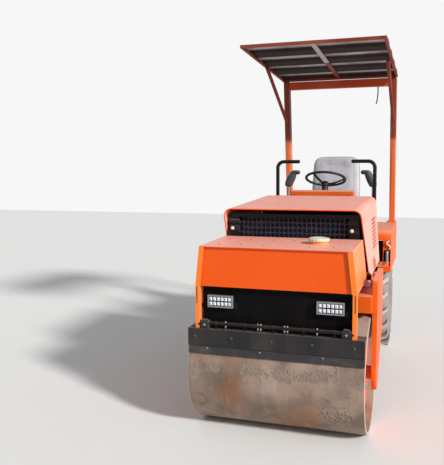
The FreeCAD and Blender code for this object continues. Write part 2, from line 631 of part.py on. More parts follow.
rows = max(2, int((value_of(GRILLE_TOP) - value_of(GRILLE_LOW) - 2 * value_of("grilleRim")) / value_of("grillePitch")))
for row in range(1, rows):
    middle = f"{GRILLE_LOW}+grilleRim+{row}*({GRILLE_TOP}-{GRILLE_LOW}-2*grilleRim)/{rows}"
    grille_bars.append(box(f"GrilleRow{row}", (f"-{GRILLE_HALF}+cornerBlock-1", f"{GRILLE_HALF}-cornerBlock+1"),
                           (f"{GRILLE_Y}+6+grilleBar/2", f"{GRILLE_Y}+6+grilleBar*1.5"),
                           (f"{middle}-grilleBar/2", f"{middle}+grilleBar/2")))
node("grille", fuse("Grille", *grille_bars))
grille_stay = box("GrilleStay", (f"{GRILLE_HALF}-60", GRILLE_HALF), (GRILLE_Y, RADIATOR_Y),
                  (DECK_TOP, GRILLE_LOW))
node("grille_stays", both_sides("GrilleStays", grille_stay))

# Hood: a shell with round shoulders, splayed sides and raked side edges, with louvres and two hinges
HOOD_REAR_TOP = "(hoodTop+hoodRise)"
SHOULDER_Z = "(hoodTop-hoodShoulder)"


def hood_form(name, wall, front, rear):
    """Solid inside the hood's skin, this far in from its outside, with its upper side edges rounded."""
    half = f"(hoodWidth/2-{wall})"
    block = prism(f"{name}Block", "XZ_Plane", [
        (f"-{half}-hoodSplay", "hoodBottom-1"),
        (f"{half}+hoodSplay", "hoodBottom-1"),
        (half, f"{HOOD_REAR_TOP}-{wall}"),
        (f"-{half}", f"{HOOD_REAR_TOP}-{wall}"),
    ], behind(front), behind(rear))
    fall = prism(f"{name}Fall", "YZ_Plane", [
        (behind(f"{front}-1"), f"hoodTop-{wall}"),
        (behind(f"{rear}+1"), f"{HOOD_REAR_TOP}-{wall}"),
        (behind(f"{rear}+1"), f"{HOOD_REAR_TOP}+1"),
        (behind(f"{front}-1"), f"{HOOD_REAR_TOP}+1"),
    ], "-hoodWidth", "hoodWidth")
    return rounded(name, cut(f"{name}Cut", block, fall), f"hoodShoulder-{wall}", at_top("Y", f"hoodTop-{wall}"))


hood_outer = hood_form("HoodOuter", "0", "hoodFront", "hoodRear")
hood_inner = hood_form("HoodInner", "hoodWall", "hoodFront-2", "hoodRear+2")
rake = prism("HoodRake", "YZ_Plane", [
    (behind("hoodFront-2"), "hoodBottom-2"),
    (behind("hoodFront+hoodRake"), "hoodBottom-2"),
    (behind("hoodFront"), SHOULDER_Z),
    (behind("hoodFront-2"), SHOULDER_Z),
], "-hoodWidth", "hoodWidth")
hem = box("HoodHem", ("-hoodWidth", "hoodWidth"), (behind("hoodFront-2"), behind("hoodRear+2")),
          ("hoodBottom-2", "hoodBottom"))
louvres = []
for number in range(int(value_of("louvreCount"))):
    low = f"hoodTop-louvreDrop-{number}*louvrePitch"
    louvres.append(box(f"Louvre{number}", ("-hoodWidth", "hoodWidth"),
                       (behind("hoodRear-louvreInset-louvreLength"), behind("hoodRear-louvreInset")),
                       (f"{low}-louvreHeight", low)))
HINGE_Y = behind("hoodRear+hingeRadius")
HINGE_Z = f"({HOOD_REAR_TOP}-hingeRadius)"
knuckles = []
hinge_pins = []
for tag, sign in (("Left", "-"), ("Right", "")):
    start = f"{sign}hingeSide-hingeLength/2"
    knuckles.append(cylinder(f"Knuckle{tag}", "hingeRadius", "hingeLength", (start, HINGE_Y, HINGE_Z), "X"))
    knuckles.append(box(f"KnuckleLeaf{tag}", (start, f"{start}+hingeLength"), (behind("hoodRear-30"), HINGE_Y),
                        (f"{HOOD_REAR_TOP}-hoodWall-2", f"{HOOD_REAR_TOP}-2")))
    hinge_pins.append(cylinder(f"HingeBore{tag}", "hingePinRadius+pinClearance", "hingeLength+2",
                               (f"{start}-1", HINGE_Y, HINGE_Z), "X"))
hood_shell = cut("HoodShell", hood_outer, hood_inner, rake, hem, *louvres)
node("hood", cut("Hood", fuse("HoodWeld", hood_shell, *knuckles), *hinge_pins))

# Bulkhead behind the engine, which carries the hood's hinge pins
BULK_HALF = "(hoodWidth/2-hoodWall-runningGap)"
bulk = box("BulkPlate", (f"-{BULK_HALF}", BULK_HALF), (behind("hoodRear-40"), behind("hoodRear-28")),
           (DECK_TOP, SHOULDER_Z))
lug_parts = [bulk]
for tag, sign in (("Left", "-"), ("Right", "")):
    for side, offset in (("In", "-hingeLength/2-12"), ("Out", "+hingeLength/2+2")):
        start = f"{sign}hingeSide{offset}"
        lug_parts.append(box(f"HingeLug{tag}{side}", (start, f"{start}+10"), (behind("hoodRear-30"), f"{HINGE_Y}+hingeRadius"),
                             (f"{HINGE_Z}-120", f"{HINGE_Z}-hoodWall+7")))
    lug_parts.append(cylinder(f"HingePin{tag}", "hingePinRadius", "hingeLength+24",
                              (f"{sign}hingeSide-hingeLength/2-12", HINGE_Y, HINGE_Z), "X"))
node("bulkhead", fuse("Bulkhead", *lug_parts))
node("engine_bed", box("EngineBed", ("-spineWidth/2", "spineWidth/2"), (behind("deckRear"), behind("hoodRear-28")),
                       ("spineTop", DECK_TOP)))

# Steering cylinder: the barrel turns on a pin under the rear chassis, the rod's eye lies in a bracket in front
CYL_X = "cylinderSide"
CYL_REAR = behind("cylinderRear")
CYL_FRONT = behind("cylinderFront")
EYE_LOW = "(cylinderLevel-cylinderEyeHeight/2)"
EYE_HIGH = "(cylinderLevel+cylinderEyeHeight/2)"
barrel_eye = cylinder("BarrelEye", "cylinderEyeRadius", "cylinderEyeHeight", (CYL_X, CYL_REAR, EYE_LOW))
barrel_neck = cylinder("BarrelNeck", "cylinderEyeHeight/2-1", "cylinderNeck",
                       (CYL_X, f"{CYL_REAR}-cylinderNeck", "cylinderLevel"), "Y")
barrel_tube = cylinder("BarrelTube", "cylinderRadius", "cylinderBarrel",
                       (CYL_X, f"{CYL_REAR}-cylinderNeck-cylinderBarrel", "cylinderLevel"), "Y")
barrel_pin_bore = cylinder("BarrelPinBore", "cylinderPinRadius+pinClearance", "cylinderEyeHeight+2",
                           (CYL_X, CYL_REAR, f"{EYE_LOW}-1"))
barrel_rod_bore = cylinder("BarrelRodBore", "cylinderRodRadius+pinClearance", "cylinderBarrel-40+1",
                           (CYL_X, f"{CYL_REAR}-cylinderNeck-cylinderBarrel-1", "cylinderLevel"), "Y")
node("cylinder_barrel", cut("CylinderBarrel", fuse("BarrelWeld", barrel_eye, barrel_neck, barrel_tube),
                            barrel_pin_bore, barrel_rod_bore))
rod_eye = cylinder("RodEye", "cylinderEyeRadius", "cylinderEyeHeight", (CYL_X, CYL_FRONT, EYE_LOW))
rod_bar = cylinder("RodBar", "cylinderRodRadius-0.5", "cylinderRodLength", (CYL_X, CYL_FRONT, "cylinderLevel"), "Y")
node("cylinder_rod", fuse("CylinderRod", rod_eye, rod_bar))
anchor_block = box("AnchorBlock", ("cylinderSide-120", "cylinderSide+40"), (f"{CYL_REAR}-30", f"{CYL_REAR}+50"),
                   (f"{EYE_HIGH}+bracketGap", "chassisBottom"))
anchor_pin = cylinder("AnchorPin", "cylinderPinRadius", "cylinderEyeHeight+2*bracketGap+10",
                      (CYL_X, CYL_REAR, f"{EYE_LOW}-bracketGap-5"))
anchor_washer = cylinder("AnchorWasher", "cylinderPinRadius+8", "5", (CYL_X, CYL_REAR, f"{EYE_LOW}-bracketGap-5"))
node("cylinder_anchor", fuse("CylinderAnchor", anchor_block, anchor_pin, anchor_washer))
BRACKET_X = ("cylinderSide-120", "cylinderSide+40")
BRACKET_Y = (f"{CYL_FRONT}-75", f"{CYL_FRONT}+45")
SPINE_LOW = "(spineBottom-earThickness)"
bracket_upper = box("BracketUpper", BRACKET_X, BRACKET_Y, (f"{EYE_HIGH}+bracketGap", SPINE_LOW))
bracket_lower = box("BracketLower", BRACKET_X, BRACKET_Y,
                    (f"{EYE_LOW}-bracketGap-bracketPlate", f"{EYE_LOW}-bracketGap"))
bracket_web = box("BracketWeb", BRACKET_X, (f"{CYL_FRONT}-75", f"{CYL_FRONT}-65"),
                  (f"{EYE_LOW}-bracketGap", f"{EYE_HIGH}+bracketGap"))
node("rod_bracket", group("RodBracket", bracket_upper, bracket_lower, bracket_web))

# Rear knuckle of the pivot, its pin and the rear chassis
KNUCKLE_LOW = "(spineBottom+faceGap)"
KNUCKLE_HIGH = "(spineTop-earThickness-faceGap)"
knuckle_ring = cylinder("KnuckleRing", "earRadius-8", f"{KNUCKLE_HIGH}-{KNUCKLE_LOW}", ("0", PIVOT_Y, KNUCKLE_LOW))
knuckle_web = box("KnuckleWeb", ("-54", "54"), (PIVOT_Y, behind("chassisFront")),
                  (KNUCKLE_LOW, KNUCKLE_HIGH))
knuckle_bore = cylinder("KnuckleBore", "pivotPinRadius", "spineTop", ("0", PIVOT_Y, "0"))
node("pivot_knuckle", cut("PivotKnuckle", fuse("KnuckleWeld", knuckle_ring, knuckle_web), knuckle_bore))
node("pivot_pin", cylinder("PivotPin", "pivotPinRadius", "spineTop-spineBottom+earThickness+30",
                           ("0", PIVOT_Y, "spineBottom-earThickness-15")))
FLOOR_LOW = "(floorLevel-floorThickness)"
node("rear_chassis", box("RearChassis", ("-chassisWidth/2", "chassisWidth/2"),
                         (behind("chassisFront"), f"{REAR_Y}-60"), ("chassisBottom", FLOOR_LOW)))

# Rear axle: a housing under the chassis with a flange at each wheel
AXLE_END = "(trackWidth/2-hubInset)"
axle_tube = cylinder("AxleTube", "axleRadius", f"2*{AXLE_END}", (f"-{AXLE_END}", AXLE_Y, "tyreRadius"), "X")
saddles = [box(f"AxleSaddle{tag}", (low, f"{low}+saddleWidth"), (f"{AXLE_Y}-saddleWidth", f"{AXLE_Y}+saddleWidth"),
               ("tyreRadius", "chassisBottom"))
           for tag, low in (("Left", "-chassisWidth/2"), ("Right", "chassisWidth/2-saddleWidth"))]
node("rear_axle", fuse("RearAxle", axle_tube, *saddles))



def lug_section(across, angle, low):
    """Cross-section of a lug at a place across the tyre and an angle round it."""
    radius = value_of("tyreRadius")
    half = value_of("lugWidth") / 2
    out = FreeCAD.Vector(0, math.cos(angle), math.sin(angle))
    round_way = FreeCAD.Vector(0, -math.sin(angle), math.cos(angle))
    middle = FreeCAD.Vector(across, 0, 0)
    top = math.sqrt(radius ** 2 - half ** 2)
    corners = [middle + out * level + round_way * side
               for level, side in ((low, -half), (low, half), (top, half), (top, -half))]
    return Part.makePolygon(corners + corners[:1])


def tyre_lugs(name, centre):
    """Slanting lugs from the middle of the tread to each shoulder, staggered side to side."""
    pitch = 2 * math.pi / value_of("lugCount")
    tread = value_of("tyreRadius-tyreLug")
    shoulder = value_of("tyreWidth/2") - 4
    solids = []
    for number in range(int(value_of("lugCount"))):
        for side, stagger in ((-1, 0), (1, 0.5)):
            angle = -math.pi / 2 + (number + stagger) * pitch
            inner = lug_section(-6 * side, angle + LUG_SWEEP, tread - 20)
            outer = lug_section(shoulder * side, angle, tread - 62)
            solids.append(Part.makeLoft([inner, outer], True, True))
    obj = doc.addObject("Part::Feature", name)
    obj.Shape = Part.makeCompound(solids)
    return place(obj, *centre)


# Wheels: a turned rim with a disc, and a tyre with a chevron of lugs on each side
LUG_SWEEP = math.radians(13)
for side, sign in (("left", "-"), ("right", "")):
    tag = side.capitalize()
    centre = (f"{sign}trackWidth/2", AXLE_Y, "tyreRadius")
    out = -1 if side == "left" else 1
    rim = turned(f"Rim{tag}", [
        (f"{out}*(faceGap-hubInset)", "0"),
        (f"{out}*(-8)", "0"),
        (f"{out}*(-8)", "rimRadius-30"),
        (f"{out}*(tyreWidth/2-34)", "rimRadius-18"),
        (f"{out}*(tyreWidth/2-30)", "rimRadius+14"),
        (f"{out}*(tyreWidth/2-38)", "rimRadius+14"),
        (f"{out}*(tyreWidth/2-42)", "rimRadius"),
        (f"{out}*(42-tyreWidth/2)", "rimRadius"),
        (f"{out}*(38-tyreWidth/2)", "rimRadius+14"),
        (f"{out}*(30-tyreWidth/2)", "rimRadius+14"),
        (f"{out}*(34-tyreWidth/2)", "rimRadius-18"),
        (f"{out}*(faceGap-hubInset)", "rimRadius-30"),
    ], centre)
    node(f"wheel_rim_{side}", rim)
    carcass = turned(f"Carcass{tag}", [
        ("42-tyreWidth/2", "rimRadius"),
        ("tyreWidth/2-42", "rimRadius"),
        ("tyreWidth/2-38", "rimRadius+14"),
        ("tyreWidth/2-14", "rimRadius+30"),
        ("tyreWidth/2", "rimRadius+110"),
        ("tyreWidth/2-10", "tyreRadius-tyreLug-50"),
        ("tyreWidth/2-40", "tyreRadius-tyreLug-14"),
        ("0", "tyreRadius-tyreLug"),
        ("40-tyreWidth/2", "tyreRadius-tyreLug-14"),
        ("10-tyreWidth/2", "tyreRadius-tyreLug-50"),
        ("-tyreWidth/2", "rimRadius+110"),
        ("14-tyreWidth/2", "rimRadius+30"),
        ("38-tyreWidth/2", "rimRadius+14"),
    ], centre)
    tyre = fuse(f"Tyre{tag}", carcass, tyre_lugs(f"Lugs{tag}", centre))
    tyre.Refine = False
    node(f"tyre_{side}", tyre)

# Fenders: bent over the tyres, with a skirt outside and a plate with a window in front
fender_side = prism("FenderSide", "YZ_Plane", [
    (behind("fenderFront"), "fenderTop-fenderSkirt"),
    (REAR_Y, "fenderTop-fenderSkirt"),
    (REAR_Y, "fenderTop"),
    (behind("fenderFront"), "fenderTop"),
], "fenderInner", "fenderOuter")
fender_room = prism("FenderRoom", "YZ_Plane", [
    (behind("fenderFront") + "+fenderWall", "fenderTop-fenderSkirt-1"),
    (f"{REAR_Y}+1", "fenderTop-fenderSkirt-1"),
    (f"{REAR_Y}+1", "fenderTop-fenderWall"),
    (behind("fenderFront") + "+fenderWall", "fenderTop-fenderWall"),
], "fenderInner-1", "fenderOuter-fenderWall")
fender_front_room = box("FenderFrontRoom", ("fenderInner-1", "fenderFace"),
                        (behind("fenderFront-1"), behind("fenderFront") + "+fenderWall+1"),
                        ("fenderTop-fenderSkirt-1", "fenderTop-fenderCorner-fenderWall"))
fender_window = box("FenderWindow", ("fenderOuter-fenderWall-fenderWindow", "fenderOuter-fenderWall"),
                    (behind("fenderFront-1"), behind("fenderFront") + "+fenderWall+1"),
                    ("fenderTop-fenderSkirt+fenderWindow", "fenderTop-fenderSkirt+3.5*fenderWindow"))
fender_block = rounded("FenderBlock", fender_side, "fenderCorner", at_top("X", "fenderTop"))
fender_hollow = rounded("FenderHollow", fender_room, "fenderCorner-fenderWall",
                        at_top("X", "fenderTop-fenderWall", behind("fenderFront") + "+fenderWall"))
fender_shell = cut("FenderShell", fender_block, fender_hollow, fender_front_room, fender_window)
fender_web = box("FenderWeb", ("fenderInner-fenderWall", "fenderInner"),
                 (behind("fenderFront") + "+fenderCorner", f"{REAR_Y}-fenderCorner"), ("floorLevel", "fenderTop"))
node("fenders", both_sides("Fenders", fuse("FenderRight", fender_shell, fender_web)))

# Steering column: a tube tilted towards the seat
tilt = math.radians(value_of("wheelTilt"))
COLUMN_TURN = FreeCAD.Rotation(FreeCAD.Vector(1, 0, 0), -value_of("wheelTilt"))
WHEEL_CENTRE = ("0", behind("wheelReach"), "wheelLevel")


def steering_column(name):
    """Column under the wheel's hub; the same form cuts its socket in the dash."""
    column = doc.addObject("Part::Cylinder", name)
    bind(column, Radius="columnRadius", Height="columnLength")
    column.Placement = FreeCAD.Placement(FreeCAD.Vector(), COLUMN_TURN)
    return place(column, "0", behind(f"wheelReach-(columnLength+60)*{math.sin(tilt):.6f}"),
                 f"wheelLevel-(columnLength+60)*{math.cos(tilt):.6f}")


# Floor, dash, seat base and the tank behind the seat
floor = prism("Floor", "XY_Plane", [
    ("-floorWidth/2+floorCorner", behind("floorFront")),
    ("floorWidth/2-floorCorner", behind("floorFront")),
    ("floorWidth/2", behind("floorFront+floorCornerDepth")),
    ("floorWidth/2", behind("fenderFront-runningGap")),
    ("fenderInner-fenderWall", behind("fenderFront-runningGap")),
    ("fenderInner-fenderWall", f"{REAR_Y}-60"),
    ("fenderWall-fenderInner", f"{REAR_Y}-60"),
    ("fenderWall-fenderInner", behind("fenderFront-runningGap")),
    ("-floorWidth/2", behind("fenderFront-runningGap")),
    ("-floorWidth/2", behind("floorFront+floorCornerDepth")),
], FLOOR_LOW, "floorLevel")
node("floor", floor)
CONSOLE_HALF = "consoleWidth/2"
console_leg = prism("ConsoleLeg", "YZ_Plane", [
    (behind("floorFront"), "floorLevel"),
    (behind("floorFront+60"), "floorLevel"),
    (behind("consoleFront+consoleDepth+20"), "consoleTop-145"),
    (behind("consoleFront+60"), "consoleTop-120"),
], f"-{CONSOLE_HALF}+60", f"{CONSOLE_HALF}-60")
console_head = prism("ConsoleHead", "YZ_Plane", [
    (behind("consoleFront"), "consoleTop-120"),
    (behind("consoleFront+consoleDepth+30"), "consoleTop-150"),
    (behind("consoleFront+consoleDepth+30"), "consoleTop-40"),
    (behind("consoleFront+40"), "consoleTop"),
    (behind("consoleFront"), "consoleTop-12"),
], f"-{CONSOLE_HALF}", CONSOLE_HALF)
node("console", cut("Console", fuse("ConsoleWeld", console_leg, console_head), steering_column("ColumnSocket")))
SEAT_BASE_HALF = "(seatWidth/2-seatInset)"
node("seat_base", box("SeatBase", (f"-{SEAT_BASE_HALF}", SEAT_BASE_HALF),
                      (behind("seatReach-cushionDepth+seatInset"), behind("seatReach-seatInset")),
                      ("floorLevel", "seatLevel")))
REAR_TANK_HALF = "(fenderInner-fenderWall-rearTankGap)"
node("rear_tank", box("RearTank", (f"-{REAR_TANK_HALF}", REAR_TANK_HALF), (behind("seatReach+40"), f"{REAR_Y}-70"),
                      ("floorLevel", "rearTankTop")))
cushion = rounded("SeatCushion", box("CushionBlock", ("-seatWidth/2", "seatWidth/2"),
                                     (behind("seatReach-cushionDepth"), behind("seatReach")),
                                     ("seatLevel", "seatLevel+cushionHeight")), "30", along("Z"))
node("seat_cushion", cushion)
backrest = prism("Backrest", "YZ_Plane", [
    (behind("seatReach-backrestDepth"), "seatLevel+cushionHeight+faceGap"),
    (behind("seatReach"), "seatLevel+cushionHeight+faceGap"),
    (behind("seatReach+60"), "seatLevel+cushionHeight+backrestHeight"),
    (behind("seatReach+60-backrestDepth*0.7"), "seatLevel+cushionHeight+backrestHeight"),
], "-seatWidth/2", "seatWidth/2")
node("seat_backrest", backrest)

# Steering wheel with three spokes, on the column
node("steering_column", steering_column("Column"))
wheel_rim = doc.addObject("Part::Torus", "WheelRim")
bind(wheel_rim, Radius1="wheelRadius-wheelGrip", Radius2="wheelGrip")
wheel_hub = doc.addObject("Part::Cylinder", "WheelHub")
bind(wheel_hub, Radius="columnRadius+8", Height="60-faceGap+10")
wheel_hub.setExpression(".Placement.Base.z", bound("faceGap-60"))
spokes = []
for number in range(3):
    spoke = doc.addObject("Part::Cylinder", f"WheelSpoke{number}")
    bind(spoke, Radius="9", Height="wheelRadius-wheelGrip")
    turn = FreeCAD.Rotation(FreeCAD.Vector(0, 0, 1), 90 + 120 * number)
    spoke.Placement = FreeCAD.Placement(FreeCAD.Vector(), turn.multiply(AXIS_TURN["X"]))
    spokes.append(spoke)
steering_wheel = fuse("SteeringWheel", wheel_rim, wheel_hub, *spokes)
steering_wheel.Placement = FreeCAD.Placement(FreeCAD.Vector(), COLUMN_TURN)
node("steering_wheel", place(steering_wheel, *WHEEL_CENTRE))

# Handrails and travel levers on each side
rail = bent_tube("HandrailRight", "railRadius", [
    ("railSide", behind("railReach"), "floorLevel"),
    ("railSide", behind("railReach"), "railTop"),
    ("railInner", behind("railReach"), "railTop"),
], "60")
node("handrails", both_sides("Handrails", rail))
lever = bent_tube("LeverRight", "leverRadius", [
    ("seatWidth/2+50", behind("leverReach"), "floorLevel"),
    ("seatWidth/2+50", behind("leverReach"), "seatLevel"),
    ("leverSide", behind("leverReach"), "seatLevel+cushionHeight+40"),
    ("leverSide", behind("leverReach"), "leverTop"),
    ("leverSide-110", behind("leverReach"), "leverTop"),
], "40")
node("travel_levers", both_sides("TravelLevers", lever))

# Canopy posts, the beam between them, braces, frame and roof sheet
POST_LEAN = "(postLean/(postTop-fenderTop))"


def post_y(height):
    """Middle of a post at this height."""
    return f"({REAR_Y}-postSetback-({height}-fenderTop)*{POST_LEAN})"


post = prism("PostRight", "YZ_Plane", [
    (f"{post_y('fenderTop')}-postDepth/2", "fenderTop"),
    (f"{post_y('fenderTop')}+postDepth/2", "fenderTop"),
    (f"{post_y('postTop')}+postDepth/2", "postTop"),
    (f"{post_y('postTop')}-postDepth/2", "postTop"),
], "postOuter-postWidth", "postOuter")
node("canopy_posts", both_sides("CanopyPosts", post))
BEAM_LOW = "(postTop-beamHeight)"
node("canopy_cross_beam", box("CanopyCrossBeam", ("postWidth-postOuter", "postOuter-postWidth"),
                              (f"{post_y('postTop')}-postDepth/2+10", f"{post_y('postTop')}+postDepth/2-10"),
                              (BEAM_LOW, "postTop")))
CANOPY_FALL = "((canopyFrontTop-canopyRearTop)/(canopyRear-canopyFront))"


def canopy_z(reach):
    """Height of the canopy frame's top at this distance behind the drum's axis."""
    return f"(canopyFrontTop-(({reach})-canopyFront)*{CANOPY_FALL})"


def canopy_slab(name, x, reach, low, high):
    """Slab between two distances behind the drum's axis that follows the canopy's slope."""
    return prism(name, "YZ_Plane", [
        (behind(reach[0]), f"{canopy_z(reach[0])}-({low})"),
        (behind(reach[1]), f"{canopy_z(reach[1])}-({low})"),
        (behind(reach[1]), f"{canopy_z(reach[1])}-({high})"),
        (behind(reach[0]), f"{canopy_z(reach[0])}-({high})"),
    ], *x)


frame_block = canopy_slab("CanopyFrameBlock", ("-canopyWidth/2", "canopyWidth/2"),
                          ("canopyFront", "canopyRear"), "canopyBar", "canopyRib")
FRAME_INSET = "(canopyBar-canopyRib)"
frame_hole = canopy_slab("CanopyFrameHole", (f"{FRAME_INSET}-canopyWidth/2", f"canopyWidth/2-{FRAME_INSET}"),
                         (f"canopyFront+{FRAME_INSET}", f"canopyRear-{FRAME_INSET}"), "canopyBar+5", "canopyRib-5")
middle_strap = canopy_slab("CanopyStrap", ("-canopyStrap/2", "canopyStrap/2"), ("canopyFront", "canopyRear"),
                           "canopyRib+canopyStrapDepth", "canopyRib")
node("canopy_frame", fuse("CanopyFrame", cut("CanopyRing", frame_block, frame_hole), middle_strap))


def folded_line(depth, shift):
    """One face of the folded roof sheet from front to rear: troughs on the frame, raised folds between them."""
    count = int(value_of("canopyFolds"))
    pitch = f"(canopyLength/{count})"
    line = [("canopyFront", "canopyRib")]
    for number in range(count):
        start = f"canopyFront+{number}*{pitch}"
        line += [(f"{start}+{pitch}*0.22-{shift}", "canopyRib"), (f"{start}+{pitch}*0.38-{shift}", "canopySheet"),
                 (f"{start}+{pitch}*0.62+{shift}", "canopySheet"), (f"{start}+{pitch}*0.78+{shift}", "canopyRib")]
    line.append(("canopyRear", "canopyRib"))
    return [(behind(reach), f"{canopy_z(reach)}-({low}-{depth})") for reach, low in line]


node("canopy_roof", prism("CanopyRoof", "YZ_Plane", folded_line("0", "0") + folded_line("canopySheet", "1")[::-1],
                          "-canopyWidth/2", "canopyWidth/2"))
pads = box("CanopyPad", ("postOuter-postWidth", "postOuter"), (f"{post_y('postTop')}-postDepth/2", behind("canopyRear")),
           ("postTop", canopy_z("canopyRear") + "-canopyBar"))
node("canopy_pads", both_sides("CanopyPads", pads))
brace = bent_tube("BraceRight", "braceRadius", [
    ("postOuter-postWidth/2", behind("braceReach"), f"{canopy_z('braceReach')}-canopyBar-braceRadius*0.9"),
    ("postOuter-postWidth/2", f"{post_y('braceFoot')}-postDepth/2-braceRadius*0.55", "braceFoot"),
], "10")
node("canopy_braces", both_sides("CanopyBraces", brace))

# Towing eye at the rear
TOW_Y = f"({REAR_Y}-2-towLength/2)"
tow_plate = box("TowPlate", ("-towPlate/2", "towPlate/2"), (f"{TOW_Y}-towLength/2", f"{TOW_Y}+towLength/2"),
                ("towLevel-towHeight/2", "towLevel+towHeight/2"))
tow_bore = cylinder("TowBore", "towBoreRadius", "towPlate+2", ("-towPlate/2-1", TOW_Y, "towLevel"), "X")
node("tow_eye", cut("TowEye", tow_plate, tow_bore))

doc.recompute()
for item in doc.Objects:
    if "Invalid" in item.State or "Error" in item.State:
        raise RuntimeError(f"{item.Name} ({item.Label}) failed: {item.State}")
for item in nodes:
    if item.Shape.isNull() or not item.Shape.isValid():
        raise RuntimeError(f"{item.Label} has no valid shape")
os.makedirs("parts", exist_ok=True)
for item in nodes:
    item.Shape.exportStep(f"parts/{item.Label}.step")
print(f"{len(nodes)} nodes written")
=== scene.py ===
"""Looks of an articulated road roller: finishes, lamps, seat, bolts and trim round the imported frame."""
from __future__ import annotations

import logging
import math
from dataclasses import dataclass
from enum import Enum
from typing import Iterable, Sequence

import bmesh
import bpy
import numpy as np
from mathutils import Matrix, Vector

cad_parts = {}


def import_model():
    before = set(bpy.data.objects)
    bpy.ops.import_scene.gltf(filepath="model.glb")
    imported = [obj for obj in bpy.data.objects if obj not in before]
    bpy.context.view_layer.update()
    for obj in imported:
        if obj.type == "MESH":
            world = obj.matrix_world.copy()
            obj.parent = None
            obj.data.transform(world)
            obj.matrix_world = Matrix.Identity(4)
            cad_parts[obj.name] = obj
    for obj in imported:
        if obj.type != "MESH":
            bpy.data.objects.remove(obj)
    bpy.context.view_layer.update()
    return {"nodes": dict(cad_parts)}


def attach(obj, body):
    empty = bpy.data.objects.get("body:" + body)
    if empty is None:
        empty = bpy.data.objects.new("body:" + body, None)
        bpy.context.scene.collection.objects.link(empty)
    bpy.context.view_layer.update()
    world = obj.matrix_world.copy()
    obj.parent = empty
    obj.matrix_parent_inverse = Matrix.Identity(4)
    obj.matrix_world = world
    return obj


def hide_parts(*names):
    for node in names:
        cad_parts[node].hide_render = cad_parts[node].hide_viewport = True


LOG = logging.getLogger("road_roller")
Triple = tuple[float, float, float]
TAU = 2 * math.pi


def linear(red: int, green: int, blue: int) -> tuple[float, float, float, float]:
    """Scene-linear colour of an 8-bit display colour."""
    def channel(value: int) -> float:
        share = value / 255
        return share / 12.92 if share <= 0.04045 else ((share + 0.055) / 1.055) ** 2.4
    return channel(red), channel(green), channel(blue), 1.0


class Field:
    """A shader value, a socket or a plain number, that Python's operators combine."""

    def __init__(self, shader: "Shader", value: object) -> None:
        """Keeps the material that the value belongs to."""
        self.shader = shader
        self.value = value

    def math(self, operation: str, *others: object, clamp: bool = False) -> "Field":
        """One Math node on this value and others.

        Args:
            operation: the node's operation, such as MULTIPLY.
            others: the further operands, numbers or fields.
            clamp: whether the result is kept from 0 to 1.

        Returns:
            The node's result.
        """
        values = {index: item for index, item in enumerate((self, *others))}
        made = self.shader.node("ShaderNodeMath", {"operation": operation, "use_clamp": clamp}, values)
        return Field(self.shader, made.outputs[0])

    def __add__(self, other: object) -> "Field":
        """Sum."""
        return self.math("ADD", other)

    def __radd__(self, other: object) -> "Field":
        """Sum with a number on the left."""
        return self.math("ADD", other)

    def __sub__(self, other: object) -> "Field":
        """Difference."""
        return self.math("SUBTRACT", other)

    def __rsub__(self, other: object) -> "Field":
        """A number less this value."""
        return Field(self.shader, other).math("SUBTRACT", self)

    def __mul__(self, other: object) -> "Field":
        """Product."""
        return self.math("MULTIPLY", other)

    def __rmul__(self, other: object) -> "Field":
        """Product with a number on the left."""
        return self.math("MULTIPLY", other)

    def __truediv__(self, other: object) -> "Field":
        """Quotient."""
        return self.math("DIVIDE", other)

    def __pow__(self, other: object) -> "Field":
        """Power."""
        return self.math("POWER", other)

    def clamp(self) -> "Field":
        """The value kept from 0 to 1."""
        return self.math("ADD", 0.0, clamp=True)

    def step(self, low: float, high: float) -> "Field":
        """Smooth rise from 0 at low to 1 at high.

        Args:
            low: value at which the result is 0.
            high: value at which the result is 1.

        Returns:
            The eased share.
        """
        made = self.shader.node("ShaderNodeMapRange", {"interpolation_type": "SMOOTHSTEP"},
                                {"Value": self, "From Min": low, "From Max": high})
        return Field(self.shader, made.outputs["Result"])


